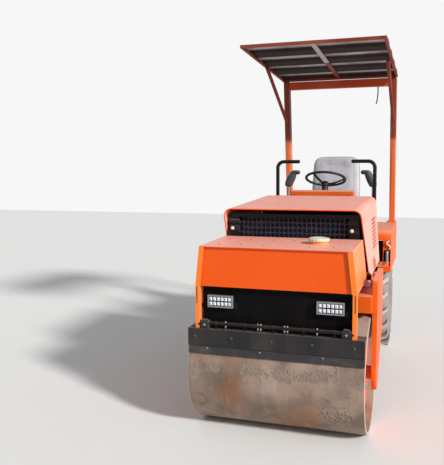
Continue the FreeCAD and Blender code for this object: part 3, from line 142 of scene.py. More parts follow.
class Shader:
    """One material under construction, with short ways to make its nodes."""

    def __init__(self, name: str) -> None:
        """Starts an empty node material with a principled shader."""
        self.material = bpy.data.materials.new(name)
        self.material.use_nodes = True
        self.tree = self.material.node_tree
        self.tree.nodes.clear()
        self.output = self.tree.nodes.new("ShaderNodeOutputMaterial")
        self.surface = self.tree.nodes.new("ShaderNodeBsdfPrincipled")
        self.tree.links.new(self.surface.outputs[0], self.output.inputs["Surface"])

    def node(self, kind: str, settings: dict[str, object] | None = None,
             inputs: dict[object, object] | None = None) -> bpy.types.Node:
        """Makes any node.

        Args:
            kind: the node's type.
            settings: properties, set before the inputs.
            inputs: sockets by name or number, with a number, colour, socket or field each.

        Returns:
            The node.
        """
        made = self.tree.nodes.new(kind)
        for name, value in (settings or {}).items():
            setattr(made, name, value)
        for key, value in (inputs or {}).items():
            self.feed(made.inputs[key], value)
        return made

    def feed(self, socket: bpy.types.NodeSocket, value: object) -> None:
        """Links a socket or field to an input, or writes a constant into it."""
        if isinstance(value, Field):
            value = value.value
        if isinstance(value, bpy.types.NodeSocket):
            self.tree.links.new(value, socket)
        else:
            socket.default_value = value

    @property
    def place(self) -> bpy.types.NodeSocket:
        """Object coordinates, in metres."""
        return self.node("ShaderNodeTexCoord").outputs["Object"]

    def axis(self, number: int, of: bpy.types.NodeSocket | None = None) -> Field:
        """One component of a vector, of the place by default."""
        split = self.node("ShaderNodeSeparateXYZ", {}, {0: of or self.place})
        return Field(self, split.outputs[number])

    @property
    def upward(self) -> Field:
        """How far the surface faces up in the row frame at rest, from -1 to 1."""
        return self.axis(2, self.node("ShaderNodeTexCoord").outputs["Normal"])

    def stretch(self, scale: Triple) -> bpy.types.NodeSocket:
        """The place with each axis scaled."""
        made = self.node("ShaderNodeVectorMath", {"operation": "MULTIPLY"}, {0: self.place, 1: scale})
        return made.outputs[0]

    def noise(self, scale: float, detail: float = 4.0, rough: float = 0.55, stretch: Triple | None = None) -> Field:
        """Fractal noise of the place.

        Args:
            scale: cells to the metre.
            detail: octaves.
            rough: weight of the finer octaves.
            stretch: scale of each axis, where the pattern isn't even.

        Returns:
            The noise, about 0.5 on average.
        """
        vector = self.stretch(stretch) if stretch else self.place
        made = self.node("ShaderNodeTexNoise", {}, {"Vector": vector, "Scale": scale, "Detail": detail,
                                                     "Roughness": rough})
        return Field(self, made.outputs["Fac"])

    def cells(self, scale: float, stretch: Triple | None = None) -> Field:
        """Distance to the nearest of scattered points."""
        vector = self.stretch(stretch) if stretch else self.place
        made = self.node("ShaderNodeTexVoronoi", {}, {"Vector": vector, "Scale": scale})
        return Field(self, made.outputs["Distance"])

    def mix(self, share: object, first: object, second: object) -> bpy.types.NodeSocket:
        """Blend of two colours."""
        made = self.node("ShaderNodeMix", {"data_type": "RGBA"}, {0: share, 6: first, 7: second})
        return made.outputs[2]

    def relief(self, height: Field, depth: float, strength: float = 1.0) -> bpy.types.NodeSocket:
        """Bumped normal from a height field, with its depth in metres."""
        made = self.node("ShaderNodeBump", {}, {"Height": height, "Distance": depth, "Strength": strength})
        return made.outputs[0]

    def finish(self, **inputs: object) -> bpy.types.Material:
        """Feeds the principled shader; an underscore in a name stands for a space."""
        for name, value in inputs.items():
            self.feed(self.surface.inputs[name.replace("_", " ")], value)
        return self.material


DUST = linear(190, 160, 138)
RUST = linear(112, 58, 34)
GRIME = linear(52, 40, 34)
# Pale pink of the painted highlight on faces turned up and sideways.
PAINTED_HIGHLIGHT = linear(255, 220, 206)
# Dark red of the painted shadow that the canopy casts on the posts' tops.
CANOPY_SHADE_RED = linear(112, 34, 20)


@dataclass(frozen=True)
class Paint:
    """Sprayed enamel with dust on what faces up, grime low down, chips and runs."""

    name: str
    colour: tuple[float, float, float, float]
    dust: float = 0.35
    rust: float = 0.12
    fade: float = 0.25
    rough: float = 0.38
    top_highlight: float = 0.34
    side_highlight: float = 0.10
    shine: float = 0.35
    shade_above: float = 9.0

    def build(self) -> bpy.types.Material:
        """Makes the material; faces turned up and sideways get a painted highlight, and a painted shadow darkens what
        stands above a set height.
        """
        s = Shader(self.name)
        broad = s.noise(2.3, 5.0)
        fine = s.noise(38.0, 6.0, 0.65)
        streak = s.noise(9.0, 5.0, 0.6, (1.0, 1.0, 0.12))
        faded = s.mix(0.55, self.colour, linear(250, 170, 130))
        worn = s.mix((broad.step(0.42, 0.72) * self.fade).clamp(), self.colour, faded)
        up = s.upward.step(0.35, 0.95)
        side = s.axis(0, s.node("ShaderNodeTexCoord").outputs["Normal"]).math("ABSOLUTE").step(0.55, 0.95)
        # Painted highlight: faces turned up and sideways are lightened towards pale pink.
        highlight_share = (up * self.top_highlight + side * self.side_highlight) * (0.8 + broad * 0.4)
        light = s.mix(highlight_share.clamp(), worn, PAINTED_HIGHLIGHT)
        # Painted shadow: above a set height the colour is darkened towards dark red, the canopy's shadow on the posts.
        canopy_shade = (s.axis(2) + broad * 0.1).step(self.shade_above, self.shade_above + 0.06)
        base = s.mix(canopy_shade * 0.85, light, CANOPY_SHADE_RED)
        low = 1.0 - s.axis(2).step(0.35, 1.15)
        film = (up * (0.45 + broad * 0.7) + low * 0.55 * streak.step(0.4, 0.7)) * self.dust
        dust_and_painted_light = s.mix((film + fine.step(0.55, 0.8) * up * self.dust * 0.5).clamp(), base, DUST)
        chips = s.cells(21.0).math("LESS_THAN", 0.11) * s.noise(3.1, 3.0).step(0.52, 0.66)
        rusted = (chips + streak.step(0.66, 0.78) * s.noise(5.0).step(0.5, 0.62)) * self.rust * 4.0
        colour = s.mix(rusted.clamp(), dust_and_painted_light, RUST)
        rough = (self.rough + film * 0.5 + fine * 0.14).clamp()
        wave = s.noise(14.0, 3.0) * 0.6 + fine * 0.25
        return s.finish(Base_Color=colour, Roughness=rough, Normal=s.relief(wave, 0.0009, 0.5),
                        Coat_Weight=0.3 * self.shine, Coat_Roughness=0.25, Specular_IOR_Level=self.shine)


@dataclass(frozen=True)
class DrumSteel:
    """Rolled steel worn by soil: a dusty skin with clay patches, rust blooms and fine scratches round it."""

    name: str = "drum_steel_worn"

    def build(self) -> bpy.types.Material:
        """Makes the material."""
        s = Shader(self.name)
        broad = s.noise(3.2, 6.0, 0.6)
        fine = s.noise(60.0, 6.0, 0.7)
        around = s.noise(26.0, 5.0, 0.6, (1.0, 0.22, 0.22))
        base = s.mix(broad.step(0.35, 0.68), linear(158, 134, 118), linear(112, 94, 82))
        bloom = s.noise(2.6, 5.0).step(0.5, 0.66) * 0.75
        warm = s.mix(bloom, base, linear(146, 98, 66))
        scratched = s.mix(around.step(0.58, 0.72) * 0.3, warm, linear(190, 176, 164))
        clay = s.noise(7.5, 7.0, 0.7).step(0.57, 0.64)
        muddy = s.mix(clay * 0.5, scratched, linear(104, 88, 76))
        pale = s.mix(s.noise(4.0, 6.0).step(0.56, 0.7) * 0.45, muddy, linear(176, 160, 148))
        speckle = s.mix(fine.step(0.6, 0.75) * 0.5, pale, linear(84, 68, 58))
        # A pale band round each end of the shell: worn bare steel, with its pale colour also a painted highlight on the
        # rim.
        edge = s.axis(0).math("ABSOLUTE").step(0.5945, 0.5975)
        colour = s.mix(edge * 0.75, speckle, linear(214, 204, 196))
        height = clay * 0.6 + fine * 0.35 + around * 0.15
        return s.finish(Base_Color=colour, Roughness=(0.62 + fine * 0.25 - edge * 0.18).clamp(),
                        Metallic=(0.12 + edge * 0.35).clamp(), Normal=s.relief(height, 0.0022, 0.8))


@dataclass(frozen=True)
class TyreRubber:
    """Rubber greyed by dust, darker in its grooves and low on its walls."""

    name: str = "tyre_rubber_dusty"
    axle_y: float = 1.02
    axle_z: float = 0.45

    def build(self) -> bpy.types.Material:
        """Makes the material; dust grows with the distance from the axle."""
        s = Shader(self.name)
        reach = ((s.axis(1) - self.axle_y) ** 2.0 + (s.axis(2) - self.axle_z) ** 2.0) ** 0.5
        tip = reach.step(0.405, 0.448)
        broad = s.noise(6.0, 5.0, 0.6)
        fine = s.noise(90.0, 5.0, 0.7)
        base = s.mix(fine.step(0.35, 0.7), linear(46, 43, 41), linear(66, 62, 58))
        cake = (0.16 + tip * 0.84 + broad * 0.35) * (0.7 + fine * 0.6)
        colour = s.mix(cake.clamp(), base, linear(218, 208, 201))
        rings = (reach * 520.0).math("SINE") * (1.0 - tip)
        return s.finish(Base_Color=colour, Roughness=(0.78 + fine * 0.2).clamp(),
                        Normal=s.relief(rings * 0.15 + fine * 0.5 + broad * 0.4, 0.0016, 0.7))


@dataclass(frozen=True)
class Moulded:
    """Plastic or rubber with a fine leathered grain and a little dust on top."""

    name: str
    colour: tuple[float, float, float, float]
    rough: float = 0.55
    grain: float = 420.0
    dust: float = 0.2

    def build(self) -> bpy.types.Material:
        """Makes the material."""
        s = Shader(self.name)
        grain = s.cells(self.grain)
        broad = s.noise(7.0, 5.0, 0.6)
        film = (s.upward.step(0.2, 0.9) * 0.6 + broad.step(0.45, 0.75) * 0.4) * self.dust
        colour = s.mix(film.clamp(), self.colour, DUST)
        return s.finish(Base_Color=colour, Roughness=(self.rough + broad * 0.2).clamp(),
                        Normal=s.relief(grain * 0.5 + broad * 0.5, 0.0005, 0.6))


@dataclass(frozen=True)
class Metal:
    """Bare or plated metal with a drawn grain and light tarnish."""

    name: str
    colour: tuple[float, float, float, float] = linear(176, 174, 170)
    rough: float = 0.34
    metallic: float = 0.85
    tarnish: float = 0.3

    def build(self) -> bpy.types.Material:
        """Makes the material."""
        s = Shader(self.name)
        grain = s.noise(70.0, 4.0, 0.6, (0.3, 1.0, 1.0))
        spots = s.noise(14.0, 6.0, 0.65)
        colour = s.mix((spots.step(0.5, 0.75) * self.tarnish).clamp(), self.colour, linear(120, 92, 74))
        return s.finish(Base_Color=colour, Metallic=(self.metallic - spots * 0.2).clamp(),
                        Roughness=(self.rough + grain * 0.2 + spots * 0.1).clamp(),
                        Normal=s.relief(grain * 0.6 + spots * 0.4, 0.0004, 0.5))


@dataclass(frozen=True)
class RoofSheet:
    """Old zinc-coated sheet: pale grey in front, dull red paint behind, with dark bands of painted shade for its folds.
    """

    name: str = "roof_sheet_weathered"
    split_y: float = 1.9
    pitch: float = 0.405

    def build(self) -> bpy.types.Material:
        """Makes the material; the painted shade bands follow the sheet's folds along Y, strongest on its underside."""
        s = Shader(self.name)
        y = s.axis(1)
        broad = s.noise(4.5, 6.0, 0.6)
        fine = s.noise(45.0, 5.0, 0.65)
        grey = s.mix(broad.step(0.4, 0.7), linear(178, 176, 178), linear(128, 120, 116))
        red = s.mix(broad.step(0.35, 0.7), linear(98, 48, 38), linear(62, 34, 30))
        colour = s.mix((y + broad * 0.12).step(self.split_y + 0.04, self.split_y + 0.1), grey, red)
        # Painted shade: dark bands at the folds' pitch along Y, mostly on faces turned down.
        fold_shade = ((y + 0.3) * (TAU / self.pitch)).math("COSINE").step(-0.97, -0.5)
        under = 1.0 - s.upward.step(-0.3, 0.3) * 0.82
        fold_shaded = s.mix(fold_shade * under * 0.97, colour, linear(24, 8, 7))
        rusted = s.mix((fine.step(0.58, 0.74) * 0.5).clamp(), fold_shaded, RUST)
        return s.finish(Base_Color=rusted, Metallic=0.1, Roughness=(0.6 + fine * 0.25).clamp(), Specular_IOR_Level=0.12,
                        Normal=s.relief(fine * 0.5 + broad * 0.5, 0.0012, 0.6))


@dataclass(frozen=True)
class MeshPanel:
    """Expanded mesh with a painted blue-grey sheen and some dust inside its black rim."""

    name: str = "grille_mesh"
    half: float = 0.4105
    low: float = 1.277
    high: float = 1.465

    def build(self) -> bpy.types.Material:
        """Makes the material."""
        s = Shader(self.name)
        inside = s.axis(0).math("ABSOLUTE").math("LESS_THAN", self.half) * s.axis(2).math("GREATER_THAN", self.low) \
            * s.axis(2).math("LESS_THAN", self.high)
        # Painted sheen: the black mesh inside the rim is coloured blue-grey as a highlight on its wires, mixed with
        # dust.
        dust_and_painted_light = s.mix(s.noise(16.0, 5.0).step(0.45, 0.7) * 0.4, linear(58, 64, 80), linear(96, 92, 96))
        colour = s.mix(inside, linear(15, 14, 16), dust_and_painted_light)
        return s.finish(Base_Color=colour, Roughness=0.45, Metallic=inside * 0.4, Specular_IOR_Level=0.3,
                        Normal=s.relief(s.noise(60.0), 0.0006, 0.5))


@dataclass(frozen=True)
class Vinyl:
    """Light grey seat vinyl with a pebbled grain, soft sheen and rubbed patches."""

    name: str = "seat_vinyl_grey"

    def build(self) -> bpy.types.Material:
        """Makes the material."""
        s = Shader(self.name)
        pebble = s.cells(330.0)
        broad = s.noise(5.0, 5.0, 0.6)
        colour = s.mix(broad.step(0.4, 0.7), linear(188, 188, 194), linear(160, 159, 164))
        soiled = s.mix((s.noise(11.0, 6.0).step(0.55, 0.75) * 0.35).clamp(), colour, linear(120, 108, 98))
        return s.finish(Base_Color=soiled, Roughness=(0.42 + broad * 0.2).clamp(),
                        Normal=s.relief(pebble * 0.6 + broad * 0.4, 0.0007, 0.7), Sheen_Weight=0.08)


@dataclass(frozen=True)
class Lens:
    """Clear plastic over the lamp's reflectors."""

    name: str = "lamp_lens"

    def build(self) -> bpy.types.Material:
        """Makes the material."""
        s = Shader(self.name)
        film = s.noise(30.0, 5.0, 0.6)
        return s.finish(Base_Color=linear(235, 240, 242), Roughness=(0.05 + film * 0.18).clamp(),
                        Transmission_Weight=1.0, IOR=1.3, Alpha=(0.05 + film * 0.06).clamp())


class Look(Enum):
    """The finishes that the machine uses."""

    ORANGE = Paint("paint_orange", linear(230, 92, 8), dust=0.2, top_highlight=0.24, side_highlight=0.0, shine=0.24)
    TANK = Paint("paint_orange_tank", linear(232, 84, 0), dust=0.12, fade=0.06, rust=0.05, shine=0.25)
    EDGE = Paint("paint_orange_light", linear(246, 122, 24), dust=0.15, fade=0.2, rust=0.08)
    # The hood gets a strong painted highlight on faces turned up and sideways.
    HOOD = Paint("paint_orange_hood", linear(252, 84, 14), dust=0.12, fade=0.2, rust=0.05, top_highlight=0.5, side_highlight=0.5)
    CANOPY = Paint("paint_canopy", linear(126, 44, 26), dust=0.16, rust=0.4, fade=0.2, rough=0.55, top_highlight=0.1,
                   side_highlight=0.0, shine=0.2)
    # The posts' paint is darkened above 2.11 m: a painted shadow of the canopy.
    POST = Paint("paint_post", linear(226, 110, 48), dust=0.2, rust=0.22, fade=0.34, rough=0.45, top_highlight=0.24, shade_above=2.11)
    MESH = MeshPanel()
    STRAP = Paint("paint_strap_grey", linear(178, 172, 168), dust=0.2, rust=0.3, fade=0.05, rough=0.6, top_highlight=0.0)
    BEAM = Paint("paint_beam", linear(190, 66, 26), dust=0.2, rust=0.35, fade=0.2, rough=0.5, top_highlight=0.1)
    BLACK = Paint("paint_black", linear(15, 14, 16), dust=0.06, rust=0.03, fade=0.0, rough=0.45, top_highlight=0.02,
                  side_highlight=0.0, shine=0.22)
    PANEL = Paint("paint_black_matt", linear(9, 7, 9), dust=0.03, rust=0.02, fade=0.0, rough=0.6, top_highlight=0.0,
                  side_highlight=0.0, shine=0.08)
    DRUM = DrumSteel()
    TYRE = TyreRubber()
    PLASTIC = Moulded("plastic_black", linear(16, 16, 18), 0.42, dust=0.05)
    GREY_RUBBER = Moulded("rubber_grey", linear(44, 43, 46), 0.7, 180.0, 0.3)
    CAP = Moulded("plastic_offwhite", linear(214, 208, 192), 0.5, 300.0, 0.3)
    STEEL = Metal("steel_bright")
    BOLT = Metal("bolt_zinc", linear(160, 158, 152), 0.42, 0.7, 0.5)
    PALE_BOLT = Moulded("bolt_cap_white", linear(226, 216, 206), 0.5, 300.0, 0.1)
    CAST = Metal("cast_iron_dark", linear(74, 74, 78), 0.6, 0.35, 0.5)
    ROOF = RoofSheet()
    VINYL = Vinyl()
    LENS = Lens()
    REFLECTOR = Metal("reflector_bright", linear(238, 240, 244), 0.3, 0.35, 0.0)
    DIAL = Moulded("dial_face", linear(32, 34, 38), 0.3, 500.0, 0.05)
    CLAY = Moulded("clay_dry", linear(134, 118, 105), 0.9, 60.0, 0.3)
    WORN_BLACK = Paint("paint_black_worn", linear(28, 28, 32), dust=0.12, rust=0.08, fade=0.02, rough=0.5, top_highlight=0.06,
                       side_highlight=0.02, shine=0.3)
    GREY_PLASTIC = Moulded("plastic_grey", linear(62, 64, 68), 0.5, 380.0, 0.12)
    AMBER = Moulded("lens_amber", linear(224, 120, 20), 0.2, 600.0, 0.02)
    RED = Moulded("lens_red", linear(170, 18, 16), 0.2, 600.0, 0.02)
    GLASS = Moulded("glass_dark", linear(20, 24, 28), 0.1, 700.0, 0.02)
    GREASE = Moulded("grease_dark", linear(38, 30, 24), 0.35, 240.0, 0.1)
    LAMP_FRAME = Metal("lamp_frame_grey", linear(150, 152, 156), 0.38, 0.7, 0.2)
    CHIP = Moulded("lamp_chip", linear(40, 42, 50), 0.4, 600.0, 0.0)
    NECK = Paint("paint_neck", linear(248, 150, 36), dust=0.2, rust=0.05, fade=0.1)
    # Pale pink that paints sunlight onto the deck cleats.
    CHALK = Moulded("painted_sunlight_pink", linear(255, 206, 186), 0.6, 120.0, 0.1)
    OLIVE = Moulded("slot_olive", linear(78, 62, 24), 0.8, 200.0, 0.2)
    # Dark maroon of painted shade, for the hood's underside and behind the louvre slots.
    SHADOW = Moulded("painted_shade_dark", linear(30, 10, 6), 0.8, 200.0, 0.05)

    @property
    def material(self) -> bpy.types.Material:
        """The finish's material, made at its first use."""
        made = bpy.data.materials.get(self.value.name)
        return made or self.value.build()


def add_mesh(name: str, points: np.ndarray, faces: Sequence[Sequence[int]], look: Look, body: str, slot: str,
             smooth: bool = True) -> bpy.types.Object:
    """Turns arrays into a piece that rides on a body.

    Args:
        name: the piece's name.
        points: places in the row frame, one row each, in metres.
        faces: corner numbers of each face, outwards.
        look: its finish.
        body: the body it rides on.
        slot: the name of a material slot; not used.
        smooth: whether its faces are shaded smooth.

    Returns:
        The piece.
    """
    mesh = bpy.data.meshes.new(name)
    mesh.from_pydata(np.asarray(points, float).tolist(), [], [list(map(int, face)) for face in faces])
    mesh.validate()
    mesh.polygons.foreach_set("use_smooth", np.full(len(mesh.polygons), smooth))
    mesh.materials.append(look.material)
    piece = bpy.data.objects.new(name, mesh)
    bpy.context.scene.collection.objects.link(piece)
    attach(piece, body)
    LOG.info("%s: %d faces on %s", name, len(mesh.polygons), body)
    return piece


def grid_faces(rows: int, columns: int, wrap_rows: bool, wrap_columns: bool) -> np.ndarray:
    """Quads of a grid of points numbered row by row, joined round where it wraps."""
    i, j = np.meshgrid(np.arange(rows - (not wrap_rows)), np.arange(columns - (not wrap_columns)), indexing="ij")
    here = i * columns + j
    right = i * columns + (j + 1) % columns
    below = (i + 1) % rows * columns + j
    corner = (i + 1) % rows * columns + (j + 1) % columns
    return np.stack([here, right, corner, below], -1).reshape(-1, 4)


def frame_of(axis: Sequence[float]) -> np.ndarray:
    """Three unit rows whose last is the axis."""
    w = np.asarray(axis, float)
    w = w / np.linalg.norm(w)
    helper = np.array([1.0, 0, 0]) if abs(w[0]) < 0.8 else np.array([0, 0, 1.0])
    u = np.cross(helper, w)
    u /= np.linalg.norm(u)
    return np.stack([u, np.cross(w, u), w])


def turned(profile: Sequence[tuple[float, float]], sides: int, centre: Sequence[float], axis: Sequence[float],
           turn: float = 0.0) -> tuple[np.ndarray, list[list[int]]]:
    """Surface of revolution: each (radius, height) of the profile is carried round the axis.

    Args:
        profile: radii and heights from the bottom outwards and up; its ends are closed with flat caps.
        sides: facets round the axis, 6 for a hexagon.
        centre: the axis' foot.
        axis: the axis' direction.
        turn: angle of the first facet's corner.

    Returns:
        Points and faces.
    """
    basis = frame_of(axis)
    angle = np.linspace(0, TAU, sides, endpoint=False) + turn
    radius, height = np.array(profile, float).T
    flat = np.stack([radius[:, None] * np.cos(angle), radius[:, None] * np.sin(angle),
                     np.repeat(height[:, None], sides, 1)], -1)
    points = flat.reshape(-1, 3) @ basis + np.asarray(centre, float)
    faces = [list(face) for face in grid_faces(len(profile), sides, False, True)]
    faces.append(list(range(sides))[::-1])
    faces.append([(len(profile) - 1) * sides + number for number in range(sides)])
    return points, faces


def joined(parts: Iterable[tuple[np.ndarray, Sequence[Sequence[int]]]]) -> tuple[np.ndarray, list[list[int]]]:
    """Several meshes as one, with their corner numbers moved up."""
    points: list[np.ndarray] = []
    faces: list[list[int]] = []
    count = 0
    for part_points, part_faces in parts:
        points.append(part_points)
        faces.extend([[corner + count for corner in face] for face in part_faces])
        count += len(part_points)
    return np.concatenate(points), faces


def hex_bolt(place: Sequence[float], axis: Sequence[float], size: float) -> tuple[np.ndarray, list[list[int]]]:
    """Washer, hexagon head and end of thread on a face, in proportion to the head's width."""
    washer = turned([(size * 0.95, 0), (size * 0.95, size * 0.14), (size * 0.5, size * 0.16)], 16, place, axis)
    head = turned([(size * 0.56, size * 0.1), (size * 0.58, size * 0.55), (size * 0.5, size * 0.64)], 6, place, axis, 0.3)
    tip = turned([(size * 0.3, size * 0.5), (size * 0.3, size * 0.82), (size * 0.24, size * 0.88)], 10, place, axis)
    return joined([washer, head, tip])


def bolts(name: str, places: Iterable[Sequence[float]], axis: Sequence[float], size: float, body: str,
          look: Look = Look.BOLT, slot: str = "bare_steel") -> bpy.types.Object:
    """One piece with a bolt at each place."""
    points, faces = joined(hex_bolt(place, axis, size) for place in places)
    return add_mesh(name, points, faces, look, body, slot, smooth=False)


def tube(path: Sequence[Sequence[float]], radius: float | np.ndarray, sides: int = 12
         ) -> tuple[np.ndarray, list[list[int]]]:
    """Round bar along a path: a ring of points stands square to the path at each of its places."""
    line = np.asarray(path, float)
    run = np.gradient(line, axis=0)
    run /= np.linalg.norm(run, axis=1)[:, None]
    side = np.cross(run, [0.0, 0.0, 1.0])
    weak = np.linalg.norm(side, axis=1) < 0.2
    side[weak] = np.cross(run[weak], [1.0, 0.0, 0.0])
    side /= np.linalg.norm(side, axis=1)[:, None]
    for number in range(1, len(side)):
        if np.dot(side[number], side[number - 1]) < 0:
            side[number] *= -1
    up = np.cross(run, side)
    angle = np.linspace(0, TAU, sides, endpoint=False)
    size = np.broadcast_to(np.asarray(radius, float), (len(line),))
    ring = (side[:, None] * np.cos(angle)[None, :, None] + up[:, None] * np.sin(angle)[None, :, None])
    points = (line[:, None] + ring * size[:, None, None]).reshape(-1, 3)
    faces = [list(face)[::-1] for face in grid_faces(len(line), sides, False, True)]
    faces.append(list(range(sides)))
    faces.append([(len(line) - 1) * sides + number for number in range(sides)][::-1])
    return points, faces


def block(low: Sequence[float], high: Sequence[float], edge: float) -> tuple[np.ndarray, list[list[int]]]:
    """Box with chamfered edges: eight corners, each cut into three points."""
    low, high = np.asarray(low, float), np.asarray(high, float)
    edge = min(edge, *(0.49 * (high - low)))
    points = []
    for sx in (0, 1):
        for sy in (0, 1):
            for sz in (0, 1):
                sign = np.array([sx, sy, sz]) * 2 - 1
                corner = np.where(sign > 0, high, low)
                for axis in range(3):
                    move = -sign * edge
                    move[axis] = 0
                    points.append(corner + move)
    mesh = bmesh.new()
    for point in points:
        mesh.verts.new(point)
    bmesh.ops.convex_hull(mesh, input=mesh.verts)
    bmesh.ops.dissolve_limit(mesh, angle_limit=0.02, verts=mesh.verts, edges=mesh.edges)
    bmesh.ops.recalc_face_normals(mesh, faces=mesh.faces)
    mesh.verts.index_update()
    result = np.array([vert.co for vert in mesh.verts]), [[vert.index for vert in face.verts] for face in mesh.faces]
    mesh.free()
    return result


CAD_LOOKS: dict[str, tuple[Look, float]] = {
    "yoke_legs": (Look.ORANGE, 0.004), "front_deck": (Look.ORANGE, 0.004), "front_cross_beam": (Look.ORANGE, 0.004),
    "front_spine": (Look.ORANGE, 0.004), "water_tank": (Look.TANK, 0.0), "tank_cover": (Look.HOOD, 0.0015),
    "tank_side_plates": (Look.EDGE, 0.0015), "filler_neck": (Look.NECK, 0.002), "filler_cap": (Look.CAP, 0.004),
    "light_panel": (Look.PANEL, 0.001), "tank_stays": (Look.BLACK, 0.002), "work_lights": (Look.BLACK, 0.003),
    "scraper_beam": (Look.WORN_BLACK, 0.0015), "scraper_blade": (Look.GREY_RUBBER, 0.001),
    "spray_bar": (Look.BLACK, 0.0), "scraper_brackets": (Look.BLACK, 0.002), "engine": (Look.CAST, 0.01),
    "radiator": (Look.PANEL, 0.003), "grille": (Look.MESH, 0.0), "grille_stays": (Look.BLACK, 0.002),
    "bulkhead": (Look.BLACK, 0.0015), "engine_bed": (Look.PANEL, 0.003), "rod_bracket": (Look.BLACK, 0.002),
    "drum_shell": (Look.DRUM, 0.003), "drum_heads": (Look.ORANGE, 0.002), "hood": (Look.HOOD, 0.002),
    "wheel_rim_left": (Look.ORANGE, 0.0), "wheel_rim_right": (Look.ORANGE, 0.0),
    "tyre_left": (Look.TYRE, 0.0), "tyre_right": (Look.TYRE, 0.0), "steering_wheel": (Look.PLASTIC, 0.0),
    "cylinder_barrel": (Look.BLACK, 0.001), "cylinder_rod": (Look.STEEL, 0.001),
    "pivot_knuckle": (Look.BLACK, 0.003), "pivot_pin": (Look.STEEL, 0.003), "cylinder_anchor": (Look.BLACK, 0.002),
    "rear_chassis": (Look.ORANGE, 0.004), "rear_axle": (Look.BLACK, 0.003), "fenders": (Look.ORANGE, 0.0015),
    "floor": (Look.ORANGE, 0.003), "console": (Look.ORANGE, 0.005), "steering_column": (Look.PLASTIC, 0.001),
    "seat_base": (Look.ORANGE, 0.004), "seat_cushion": (Look.VINYL, 0.0), "seat_backrest": (Look.VINYL, 0.0),
    "rear_tank": (Look.ORANGE, 0.006), "handrails": (Look.BLACK, 0.0), "travel_levers": (Look.STEEL, 0.0),
    "canopy_posts": (Look.POST, 0.006), "canopy_cross_beam": (Look.BEAM, 0.005),
    "canopy_pads": (Look.CANOPY, 0.001), "canopy_frame": (Look.CANOPY, 0.001), "canopy_roof": (Look.ROOF, 0.0),
    "canopy_braces": (Look.CANOPY, 0.0), "tow_eye": (Look.ORANGE, 0.002),
}


def dress_frame(nodes: dict[str, bpy.types.Object]) -> None:
    """Gives each carried-over node its finish and, where it is sheet or bar, softened edges.

    Args:
        nodes: the CAD nodes by name.
    """
    for name, (look, edge) in CAD_LOOKS.items():
        node = nodes[name]
        node.data.materials.clear()
        node.data.materials.append(look.material)
        if edge:
            weld = node.modifiers.new("weld", "WELD")
            weld.merge_threshold = 1e-5
            bevel = node.modifiers.new("edge", "BEVEL")
            bevel.width = edge
            bevel.segments = 2
            bevel.limit_method = "ANGLE"
            bevel.angle_limit = math.radians(38)
    LOG.info("dressed %d nodes", len(CAD_LOOKS))


@dataclass
class Studio:
    """Pale floor, soft lamps and the camera at the photograph's angle."""

    focal_px: float = 636.9
    frame_px: float = 465.0
    sensor_mm: float = 36.0
    place: Triple = (0.978, -5.560, 1.909)
    yaw: float = 0.3213
    pitch: float = 0.1170
    roll: float = -0.0095
    floor_size: float = 30.0

    def camera(self) -> bpy.types.Object:
        """Camera whose focal length and turn give the photograph's view."""
        data = bpy.data.cameras.new("camera")
        data.sensor_width = self.sensor_mm
        data.lens = self.focal_px * self.sensor_mm / self.frame_px
        ahead = Vector((-math.sin(self.yaw) * math.cos(self.pitch), math.cos(self.yaw) * math.cos(self.pitch),
                        -math.sin(self.pitch)))
        level = Vector((math.cos(self.yaw), math.sin(self.yaw), 0))
        raised = level.cross(ahead)
        right = level * math.cos(self.roll) + raised * math.sin(self.roll)
        up = raised * math.cos(self.roll) - level * math.sin(self.roll)
        turn = Matrix((right, up, -ahead)).transposed()
        camera = bpy.data.objects.new("camera", data)
        camera.matrix_world = Matrix.Translation(self.place) @ turn.to_4x4()
        bpy.context.scene.collection.objects.link(camera)
        bpy.context.scene.camera = camera
        return camera

    def floor(self) -> None:
        """Plain pale floor."""
        half = self.floor_size / 2
        mesh = bpy.data.meshes.new("floor_plane")
        mesh.from_pydata([(-half, -half, 0), (half, -half, 0), (half, half, 0), (-half, half, 0)], [], [(0, 1, 2, 3)])
        s = Shader("floor_pale")
        grain = s.noise(2.0, 4.0)
        mesh.materials.append(s.finish(Base_Color=s.mix(grain * 0.3, linear(226, 225, 222), linear(214, 213, 210)),
                                       Roughness=0.9))
        plane = bpy.data.objects.new("floor_plane", mesh)
        bpy.context.scene.collection.objects.link(plane)

    def lamps(self) -> None:
        """A soft sun from the right of the camera and an even sky."""
        data = bpy.data.lights.new("key", "SUN")
        data.energy = 4.0
        data.angle = math.radians(7)
        key = bpy.data.objects.new("key", data)
        key.rotation_euler = Vector((-0.82, 0.44, -0.50)).to_track_quat("-Z", "Y").to_euler()
        bpy.context.scene.collection.objects.link(key)
        world = bpy.data.worlds.new("sky")
        world.use_nodes = True
        tree = world.node_tree
        tree.nodes.clear()
        out = tree.nodes.new("ShaderNodeOutputWorld")
        light = tree.nodes.new("ShaderNodeBackground")
        seen = tree.nodes.new("ShaderNodeBackground")
        light.inputs["Color"].default_value = (0.93, 0.96, 1.0, 1.0)
        light.inputs["Strength"].default_value = 0.45
        seen.inputs["Color"].default_value = (0.93, 0.93, 0.93, 1.0)
        seen.inputs["Strength"].default_value = 1.0
        rays = tree.nodes.new("ShaderNodeLightPath")
        mixed = tree.nodes.new("ShaderNodeMixShader")
        tree.links.new(rays.outputs["Is Camera Ray"], mixed.inputs[0])
        tree.links.new(light.outputs[0], mixed.inputs[1])
        tree.links.new(seen.outputs[0], mixed.inputs[2])
        tree.links.new(mixed.outputs[0], out.inputs["Surface"])
        bpy.context.scene.world = world

    def build(self) -> None:
        """Sets the whole studio."""
        self.camera()
        self.floor()
        self.lamps()
        bpy.context.scene.view_settings.view_transform = "Standard"


def both(place: Sequence[float]) -> list[tuple[float, float, float]]:
    """A place and its mirror image on the machine's other side."""
    return [(side * place[0], place[1], place[2]) for side in (-1, 1)]


